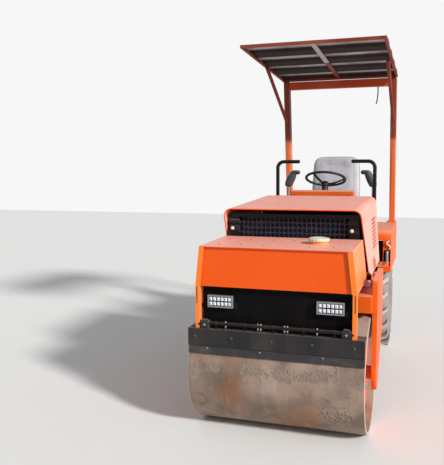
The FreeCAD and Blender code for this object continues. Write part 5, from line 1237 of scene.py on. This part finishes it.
@dataclass
class RearTrim:
    """Tail lamps, tank cap, liners, brackets and treads of the rear frame, and bolts of the canopy."""

    def build(self) -> None:
        """Makes the rear trim."""
        liners, hooks, treads, places = [], [], [], []
        for sign in (-1, 1):
            low, high = sorted((sign * 0.40, sign * 0.600))
            liners.append(block((low, 0.700, 0.806), (high, 0.704, 1.10), 0.001))
            treads += [block((x - 0.018, y - 0.003, 0.8995), (x + 0.018, y + 0.003, 0.9022), 0.0012)
                       for x in span(sign * 0.33, sign * 0.55, 5) for y in span(0.49, 0.65, 6)]
            for y in (0.80, 1.05, 1.30, 1.52):
                places.append((sign * 0.372, y, 1.2))
        treads += [block((x - 0.003, y - 0.018, 0.8995), (x + 0.003, y + 0.018, 0.9022), 0.0012)
                   for x in span(-0.24, 0.24, 9) for y in span(0.50, 0.64, 4)]
        add_mesh("fender_liners", *joined(liners), Look.PANEL, "rear_frame", "black_paint", False)
        add_mesh("floor_treads", *joined(treads), Look.WORN_BLACK, "rear_frame", "orange_paint", False)
        bolts("fender_bolts", places, (0, 0, 1), 0.009, "rear_frame")
        bar = tube([(0.568, 0.6885, z) for z in span(0.868, 1.002, 6)], 0.015, 16)
        hooks.append(bar)
        add_mesh("window_bar", *joined(hooks), Look.LAMP_FRAME, "rear_frame", "bare_steel")
        share = np.linspace(0, 1, 25)
        sway = 0.580 + 0.017 * np.sin(share * TAU + 0.4)
        stay = tube(np.stack([sway, 0.680 + 0.004 * np.cos(share * TAU), 1.026 + 0.078 * share], -1), 0.0072, 12)
        add_mesh("fender_hook", *stay, Look.CAP, "rear_frame", "bare_steel")
        hang = tube([(0.40, 1.345, 2.625), (0.402, 1.342, 2.56), (0.392, 1.340, 2.47), (0.384, 1.340, 2.45)], 0.006, 10)
        add_mesh("beam_hook", *hang, Look.WORN_BLACK, "rear_frame", "black_paint")
        lamps, ambers, bases = [], [], []
        for sign in (-1, 1):
            x0, x1 = sorted((sign * 0.160, sign * 0.298))
            bases.append(block((x0, 1.528, 1.156), (x1, 1.541, 1.226), 0.003))
            x0, x1 = sorted((sign * 0.164, sign * 0.246))
            lamps.append(block((x0, 1.536, 1.160), (x1, 1.560, 1.222), 0.005))
            x0, x1 = sorted((sign * 0.249, sign * 0.294))
            ambers.append(block((x0, 1.536, 1.160), (x1, 1.560, 1.222), 0.005))
        add_mesh("tail_lamp_bases", *joined(bases), Look.PLASTIC, "rear_frame", "grip_plastic", False)
        add_mesh("tail_lamps", *joined(lamps), Look.RED, "rear_frame", "lamp_glass", False)
        add_mesh("tail_ambers", *joined(ambers), Look.AMBER, "rear_frame", "lamp_glass", False)
        neck = turned([(0.034, 0), (0.034, 0.016), (0.040, 0.016), (0.040, 0.030), (0.034, 0.036), (0.01, 0.037)], 32, (-0.2, 1.40, 1.30), (0, 0, 1))
        add_mesh("rear_tank_cap", *neck, Look.PLASTIC, "rear_frame", "grip_plastic", False)
        y = np.repeat(span(-0.277, 0.52, 9), 4)
        x = np.tile([-0.0208, 0.0208, 0.0208, -0.0208], 9)
        z = 2.833 - 0.0685 * (y + 0.278) + np.tile([-0.0012, -0.0012, 0.0075, 0.0075], 9)
        faces = grid_faces(9, 4, False, True).tolist() + [[3, 2, 1, 0], [32, 33, 34, 35]]
        add_mesh("roof_strap_worn", np.stack([x, y, z], -1), faces, Look.STRAP, "rear_frame", "canopy_paint", False)
        feet = []
        for sign in (-1, 1):
            x0, x1 = sorted((sign * 0.505, sign * 0.602))
            feet.append(block((x0, 1.488, 1.1995), (x1, 1.598, 1.207), 0.002))
        add_mesh("post_plates", *joined(feet), Look.ORANGE, "rear_frame", "orange_paint", False)
        bolts("post_plate_bolts", [(sign * x, y, 1.207) for sign in (-1, 1) for x in (0.515, 0.594) for y in (1.50, 1.587)],
              (0, 0, 1), 0.008, "rear_frame")
        rails = []
        for sign in (-1, 1):
            rails.append(turned([(0.038, -0.0005), (0.038, 0.006), (0.019, 0.008), (0.0175, 0.014)], 28, (sign * 0.458, 0.484, 0.90), (0, 0, 1)))
        add_mesh("rail_feet", *joined(rails), Look.BLACK, "rear_frame", "black_paint", False)


@dataclass
class WorkLights:
    """Two lamps with a pale frame round twelve square reflectors, under a clear lens."""

    side: float = 0.372
    half_width: float = 0.089
    low: float = 0.900
    high: float = 0.984
    front: float = -1.564
    back: float = -1.520
    rim: float = 0.009
    columns: int = 6
    rows: int = 2

    def build(self) -> None:
        """Makes housings, rims, reflectors, lenses and side brackets."""
        housings, rims, cups, chips, lenses, brackets, screws = [], [], [], [], [], [], []
        for sign in (-1, 1):
            x0, x1 = sign * self.side - self.half_width, sign * self.side + self.half_width
            housings.append(block((x0 + 0.003, self.front + 0.024, self.low + 0.003),
                                  (x1 - 0.003, self.back, self.high - 0.003), 0.004))
            for fin in span(x0 + 0.02, x1 - 0.02, 5):
                housings.append(block((fin - 0.002, self.front + 0.02, self.high - 0.004),
                                      (fin + 0.002, self.back, self.high), 0.0008))
            bars = (((x0, self.low), (x1, self.low + self.rim)), ((x0, self.high - self.rim), (x1, self.high)),
                    ((x0, self.low + self.rim), (x0 + self.rim, self.high - self.rim)),
                    ((x1 - self.rim, self.low + self.rim), (x1, self.high - self.rim)))
            for (left, bottom), (right, top) in bars:
                rims.append(block((left, self.front, bottom), (right, self.front + 0.024, top), 0.002))
            housings.append(block((x0 + 0.004, self.front + 0.0075, self.low + 0.004),
                                  (x1 - 0.004, self.front + 0.0082, self.high - 0.004), 0.0002))
            cell_w = (2 * self.half_width - 2 * self.rim) / self.columns
            cell_h = (self.high - self.low - 2 * self.rim) / self.rows
            for column in range(self.columns):
                for row in range(self.rows):
                    x = x0 + self.rim + (column + 0.5) * cell_w
                    z = self.low + self.rim + (row + 0.5) * cell_h
                    cups.append(self.cup(x, z, cell_w, cell_h))
                    chips.append(block((x - 0.0022, self.front + 0.0016, z - 0.0026),
                                       (x + 0.0022, self.front + 0.0024, z + 0.0018), 0.0003))
            lenses.append(block((x0 + self.rim - 0.001, self.front + 0.0004, self.low + self.rim - 0.001),
                                (x1 - self.rim + 0.001, self.front + 0.0012, self.high - self.rim + 0.001), 0.0008))
            screws += [(x, self.front, z) for x in (x0 + 0.0045, x1 - 0.0045) for z in (self.low + 0.0045, self.high - 0.0045)]
            for end in (-1, 1):
                edge = sign * self.side + end * (self.half_width + 0.004)
                brackets.append(block((edge - 0.002, self.front + 0.016, self.low + 0.012),
                                      (edge + 0.002, self.back, self.high - 0.018), 0.0008))
                brackets.append(block((min(edge, edge - end * 0.002), self.back - 0.003, self.low - 0.012),
                                      (max(edge, edge + end * 0.016), self.back, self.low + 0.03), 0.0008))
        housing = add_mesh("lamp_housings", *joined(housings), Look.BLACK, "front_frame", "black_paint", False)
        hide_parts("work_lights")
        add_mesh("lamp_rims", *joined(rims), Look.LAMP_FRAME, "front_frame", "lamp_glass", False)
        add_mesh("lamp_reflectors", *joined(cups), Look.REFLECTOR, "front_frame", "lamp_glass", False)
        add_mesh("lamp_chips", *joined(chips), Look.CHIP, "front_frame", "lamp_glass", False)
        add_mesh("lamp_lenses", *joined(lenses), Look.LENS, "front_frame", "lamp_glass", False)
        add_mesh("lamp_brackets", *joined(brackets), Look.BLACK, "front_frame", "bare_steel", False)
        heads = joined(turned([(0.003, 0), (0.003, 0.0012), (0.0022, 0.0016)], 10, place, (0, -1, 0)) for place in screws)
        heads[0][:, 1] = np.maximum(heads[0][:, 1], self.front - 0.0016)
        add_mesh("lamp_screws", *heads, Look.BOLT, "front_frame", "bare_steel", False)

    def cup(self, x: float, z: float, width: float, height: float) -> tuple[np.ndarray, list[list[int]]]:
        """Four-sided reflector that narrows in curved steps from its mouth to its floor."""
        depth = np.array([0.0, 0.006, 0.012, 0.017])
        share = np.array([0.37, 0.33, 0.26, 0.16])
        corner = np.array([(-1, -1), (1, -1), (1, 1), (-1, 1)])
        points = [(x + sx * s * width, self.front + 0.0065 - 0.25 * d, z + sz * s * height)
                  for d, s in zip(depth, share) for sx, sz in corner]
        faces = [list(face)[::-1] for face in grid_faces(4, 4, False, True)]
        faces.append([12, 13, 14, 15])
        return np.array(points), faces


@dataclass
class ScraperTrim:
    """Bolts, hem and end blocks of the scraper, with the spray pipe's nozzles."""

    front: float = -1.5901
    low: float = 0.640
    high: float = 0.752
    half: float = 0.596
    pipe: Triple = (0.484, -1.5652, 0.790)

    def build(self) -> None:
        """Makes the scraper's trim."""
        xs = (-0.545, -0.285, -0.01, 0.26, 0.53)
        bolts("scraper_bolts", [(x, self.front + 0.0005, self.low + 0.062) for x in xs], (0, -1, 0), 0.011,
              "front_frame", Look.CAST, "black_paint")
        hem = block((-self.half, self.front + 0.0005, self.low - 0.0035), (self.half, self.front + 0.014, self.low + 0.004), 0.0015)
        lip = block((-self.half, self.front, self.high - 0.004), (self.half, self.front + 0.006, self.high + 0.0035), 0.0012)
        add_mesh("scraper_hem", *joined([hem, lip]), Look.WORN_BLACK, "front_frame", "black_paint", False)
        nuts = [(x, self.front + 0.0085, self.low - 0.022) for x in (-0.46, -0.09, 0.33)]
        bolts("blade_bolts", nuts, (0, -1, 0), 0.007, "front_frame", Look.BOLT, "bare_steel")
        blocks = []
        for sign in (-1, 1):
            x0, x1 = sorted((sign * 0.445, sign * 0.512))
            blocks.append(block((x0, -1.5840, self.high), (x1, -1.540, self.high + 0.058), 0.008))
            blocks.append(turned([(0.02, 0), (0.02, 0.012), (0.015, 0.018)], 20, (sign * 0.512, -1.562, self.high + 0.032),
                                 (sign, 0, 0)))
            blocks.append(block((x0 + 0.012, -1.5845, self.high + 0.05), (x1 - 0.012, -1.556, self.high + 0.066), 0.004))
        add_mesh("scraper_blocks", *joined(blocks), Look.WORN_BLACK, "front_frame", "black_paint", False)
        bolts("block_bolts", [(sign * 0.478, -1.5840, self.high + 0.03) for sign in (-1, 1)], (0, -1, 0), 0.009,
              "front_frame", Look.BOLT, "bare_steel")
        flap = block((-0.506, -1.5215, self.high - 0.002), (0.506, -1.5182, 0.7955), 0.0008)
        add_mesh("spray_flap", *flap, Look.PANEL, "front_frame", "scraper_rubber", False)
        x_end, y, z = self.pipe
        nozzles, clamps = [], []
        for x in (-0.33, -0.105, -0.085, 0.075, 0.095, 0.29):
            nozzles.append(turned([(0.006, 0), (0.006, 0.008), (0.004, 0.012), (0.004, 0.02)], 8, (x, y - 0.002, z - 0.008),
                                  (0, -0.35, -1)))
            nozzles.append(turned([(0.0055, 0), (0.0055, 0.009), (0.003, 0.012)], 8, (x, y - 0.004, z + 0.01), (0, -0.2, 1)))
        for x in (-0.40, -0.2, 0.0, 0.2, 0.40):
            ring = turned([(0.0145, 0), (0.016, 0.002), (0.016, 0.012), (0.0145, 0.014)], 20, (x - 0.007, y, z), (1, 0, 0))
            foot = block((x - 0.008, y, z - 0.038), (x + 0.008, y + 0.004, z - 0.008), 0.001)
            clamps += [ring, foot]
        add_mesh("spray_nozzles", *joined(nozzles), Look.STEEL, "front_frame", "bare_steel", True)
        add_mesh("spray_clamps", *joined(clamps), Look.BLACK, "front_frame", "black_paint", False)


@dataclass
class TankTrim:
    """Cover bolts, filler ribs, strut slots and weld beads of the water tank."""

    top: float = 1.320
    front: float = -1.580
    rear: float = -0.992
    half_top: float = 0.512
    half_bottom: float = 0.542
    bottom: float = 1.045
    filler: Triple = (0.245, -1.270, 1.341)

    def build(self) -> None:
        """Makes the tank's trim."""
        rows = [(x, self.front + 0.125, self.top) for x in span(-0.41, 0.375, 6)]
        rows += [(x, self.rear - 0.186, self.top) for x in span(-0.42, 0.382, 6)]
        rows += [(x, self.rear - 0.026, self.top) for x in span(-0.47, 0.47, 6)]
        bolts("tank_cover_bolts", rows, (0, 0, 1), 0.0075, "front_frame", Look.BEAM, "orange_paint")
        x, y, z = self.filler
        ribs = []
        for angle in np.linspace(0, TAU, 20, endpoint=False):
            c, s = math.cos(angle), math.sin(angle)
            ribs.append(turned([(0.0035, 0.002), (0.0035, 0.014), (0.002, 0.016)], 8, (x + 0.0702 * c, y + 0.0702 * s, z), (0, 0, 1)))
        dome = turned([(0.0715, 0.0005), (0.0715, 0.013), (0.068, 0.0185), (0.06, 0.0205), (0.052, 0.0195), (0.05, 0.0165),
                       (0.02, 0.0165), (0.018, 0.019), (0.004, 0.0195)], 48, (x, y, z), (0, 0, 1))
        grip = block((x - 0.046, y - 0.006, z + 0.0165), (x + 0.046, y + 0.006, z + 0.0235), 0.002)
        cap = add_mesh("filler_cap_moulded", *joined([dome, grip] + ribs), Look.CAP, "front_frame", "cap_plastic", False)
        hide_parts("filler_cap")
        collar = turned([(0.0625, 0), (0.068, 0.0005), (0.068, 0.004), (0.0625, 0.006)], 40, (x, y, self.top), (0, 0, 1))
        add_mesh("filler_collar", *collar, Look.NECK, "front_frame", "orange_paint")
        slots, beads = [], []
        for sign in (-1, 1):
            slots.append(block((sign * 0.531 - 0.0036, self.front - 0.0004, 0.925), (sign * 0.531 + 0.0036, self.front + 0.003, 1.040), 0.0003))
            beads.append(tube([(sign * self.half_bottom, y, self.bottom) for y in span(self.front + 0.05, self.rear, 24)],
                              0.0035 + 0.0008 * np.sin(np.arange(24) * 2.4), 8))
        add_mesh("strut_slots", *joined(slots), Look.OLIVE, "front_frame", "orange_paint", False)
        add_mesh("tank_beads", *joined(beads), Look.ORANGE, "front_frame", "orange_paint")
        drain = turned([(0.016, 0), (0.016, 0.012), (0.011, 0.014), (0.011, 0.03)], 16, (0.3, -1.30, self.bottom), (0, 0, -1))
        add_mesh("tank_drain", *drain, Look.BOLT, "front_frame", "bare_steel", False)


@dataclass
class GrilleTrim:
    """Pale bolts and clamp straps at the mesh's corner blocks, and the radiator's fins."""

    face: float = -0.976

    def build(self) -> None:
        """Makes the grille's trim."""
        caps, straps, fins = [], [], []
        for sign in (-1, 1):
            caps.append(turned([(0.0135, 0), (0.0135, 0.003), (0.011, 0.0065), (0.005, 0.0085)], 20,
                               (sign * 0.446 - 0.014, self.face - 0.009, 1.379), (0, -1, 0)))
            x0, x1 = sorted((sign * 0.404, sign * 0.484))
            straps.append(block((x0, self.face - 0.009, 1.355), (x1, self.face, 1.401), 0.003))
            straps.append(block((x0, self.face - 0.007, 1.410), (x1, self.face, 1.446), 0.003))
            straps.append(turned([(0.018, 0), (0.018, 0.076), (0.014, 0.08)], 20, (sign * 0.404, self.face - 0.004, 1.432),
                                 (sign, 0, 0)))
        for x in span(-0.385, 0.385, 90):
            fins.append(block((x - 0.0012, -0.9395, 1.00), (x + 0.0012, -0.9355, 1.478), 0.0003))
        for z in span(1.03, 1.46, 12):
            fins.append(block((-0.388, -0.9385, z - 0.003), (0.388, -0.9355, z + 0.003), 0.0006))
        strands = []
        share = np.arange(46)
        for number in range(11):
            z = 1.2845 + number * 0.0172
            zigzag = z + 0.0086 * np.where((share + number) % 2, 1.0, -1.0)
            line = np.stack([-0.4095 + share * (0.819 / 45), np.full(46, -0.9615), zigzag], -1)
            strands.append(tube(line, 0.0016, 4))
        add_mesh("grille_strands", *joined(strands), Look.MESH, "front_frame", "black_paint", False)
        add_mesh("grille_caps", *joined(caps), Look.PALE_BOLT, "front_frame", "cap_plastic", False)
        add_mesh("grille_straps", *joined(straps), Look.WORN_BLACK, "front_frame", "black_paint", False)
        add_mesh("radiator_fins", *joined(fins), Look.CAST, "front_frame", "black_paint", False)


@dataclass
class FrontTrim:
    """Bolts, lugs, bearing covers and weld beads of the yoke and the deck."""

    leg: float = 0.642
    axis_y: float = -1.18
    axis_z: float = 0.42

    def build(self) -> None:
        """Makes the yoke's trim."""
        covers, rings, beads, lugs, eyes = [], [], [], [], []
        places = []
        for sign in (-1, 1):
            centre = (sign * (self.leg - 0.014), self.axis_y, self.axis_z)
            covers.append(turned([(0.07, 0), (0.07, 0.0095), (0.064, 0.0135), (0.03, 0.0138)], 40, centre, (sign, 0, 0)))
            for angle in np.linspace(0, TAU, 6, endpoint=False):
                places.append((sign, (sign * (self.leg - 0.0095), self.axis_y + 0.09 * math.cos(angle), self.axis_z + 0.09 * math.sin(angle))))
            beads.append(tube([(sign * 0.611, y, 0.986) for y in span(-1.27, -0.81, 40)],
                              0.005 + 0.001 * np.sin(np.arange(40) * 2.2), 8))
            beads.append(tube([(sign * 0.2, y, 0.8795) for y in span(-0.37, 0.05, 30)], 0.004, 8))
            eyes.append(turned([(0.0205, -0.0005), (0.031, -0.0005), (0.031, 0.0), (0.0205, 0.0)], 32,
                               (sign * self.leg, -0.93, 1.05), (sign, 0, 0)))
            lugs.append(block((sign * 0.578 - 0.006, -0.835, 0.984), (sign * 0.578 + 0.006, -0.775, 1.022), 0.004))
            lugs.append(turned([(0.03, -0.006), (0.03, 0.006)], 28, (sign * 0.578, -0.805, 1.022), (1, 0, 0)))
            lugs.append(block((sign * 0.578 - 0.028, -0.86, 0.984), (sign * 0.578 + 0.028, -0.75, 0.992), 0.002))
        cleats, tongues = [], []
        for sign in (-1, 1):
            x0, x1 = sorted((sign * 0.497, sign * 0.572))
            cleats.append(block((x0, -1.040, 0.9845), (x1, -0.805, 1.000), 0.006))
            cleats.append(turned([(0.017, 0), (0.017, 0.007), (0.012, 0.010)], 6, (sign * 0.548, -0.872, 0.998), (0, 0, 1)))
            tongues.append(block((sign * 0.534 - 0.026, -0.832, 0.996), (sign * 0.534 + 0.026, -0.820, 1.034), 0.004))
            tongues.append(turned([(0.026, -0.006), (0.026, 0.006)], 26, (sign * 0.534, -0.826, 1.032), (0, 1, 0)))
        # The deck cleats' pale pink is painted sunlight, a lit look on parts that stand in shade.
        add_mesh("deck_cleats", *joined(cleats), Look.CHALK, "front_frame", "orange_paint", False)
        add_mesh("deck_tongues", *joined(tongues), Look.BEAM, "front_frame", "orange_paint", False)
        add_mesh("bearing_covers", *joined(covers), Look.ORANGE, "front_frame", "orange_paint", False)
        heads = joined(hex_bolt(place, (sign, 0, 0), 0.0095) for sign, place in places)
        add_mesh("bearing_bolts", *heads, Look.BOLT, "front_frame", "bare_steel", False)
        add_mesh("yoke_beads", *joined(beads), Look.ORANGE, "front_frame", "orange_paint")
        add_mesh("deck_lugs", *joined(lugs), Look.ORANGE, "front_frame", "orange_paint", False)
        pins = [turned([(0.009, 0), (0.009, 0.004), (0.006, 0.006)], 14, (sign * 0.642 - sign * 0.0061, y, z), (sign, 0, 0))
                for sign in (-1, 1) for y, z in ((-1.235, 0.60), (-1.235, 0.75), (-0.85, 0.74), (-0.85, 0.90), (-1.235, 0.90))]
        add_mesh("leg_pins", *joined(pins), Look.PALE_BOLT, "front_frame", "bare_steel", False)


def main() -> None:
    """Builds the machine's looks in order."""
    logging.basicConfig(level=logging.INFO, format="%(message)s")
    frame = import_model()
    dress_frame(frame["nodes"])
    cushion = Pad("seat_pad", "seat_cushion", (0.015, 0.89, 1.385), (0.488, 0.438, 0.108), depth=0.1)
    back = Pad("seat_back_pad", "seat_backrest", (0.018, 1.085, 1.672), (0.494, 0.466, 0.112), lean=math.radians(7.1),
               taper=0.07, seams=(-0.74, 0.74), cross=(0.62,), depth=0.035)
    for assembly in (WorkLights(), ScraperTrim(), TankTrim(), GrilleTrim(), FrontTrim(), cushion, back, SteeringWheel(),
                     LeverGrips(), Dash(), WheelTrim(), DrumTrim(), HoodTrim(), EngineTrim(), RearTrim()):
        assembly.build()
    Studio().build()


if __name__ == "__main__":
    main()
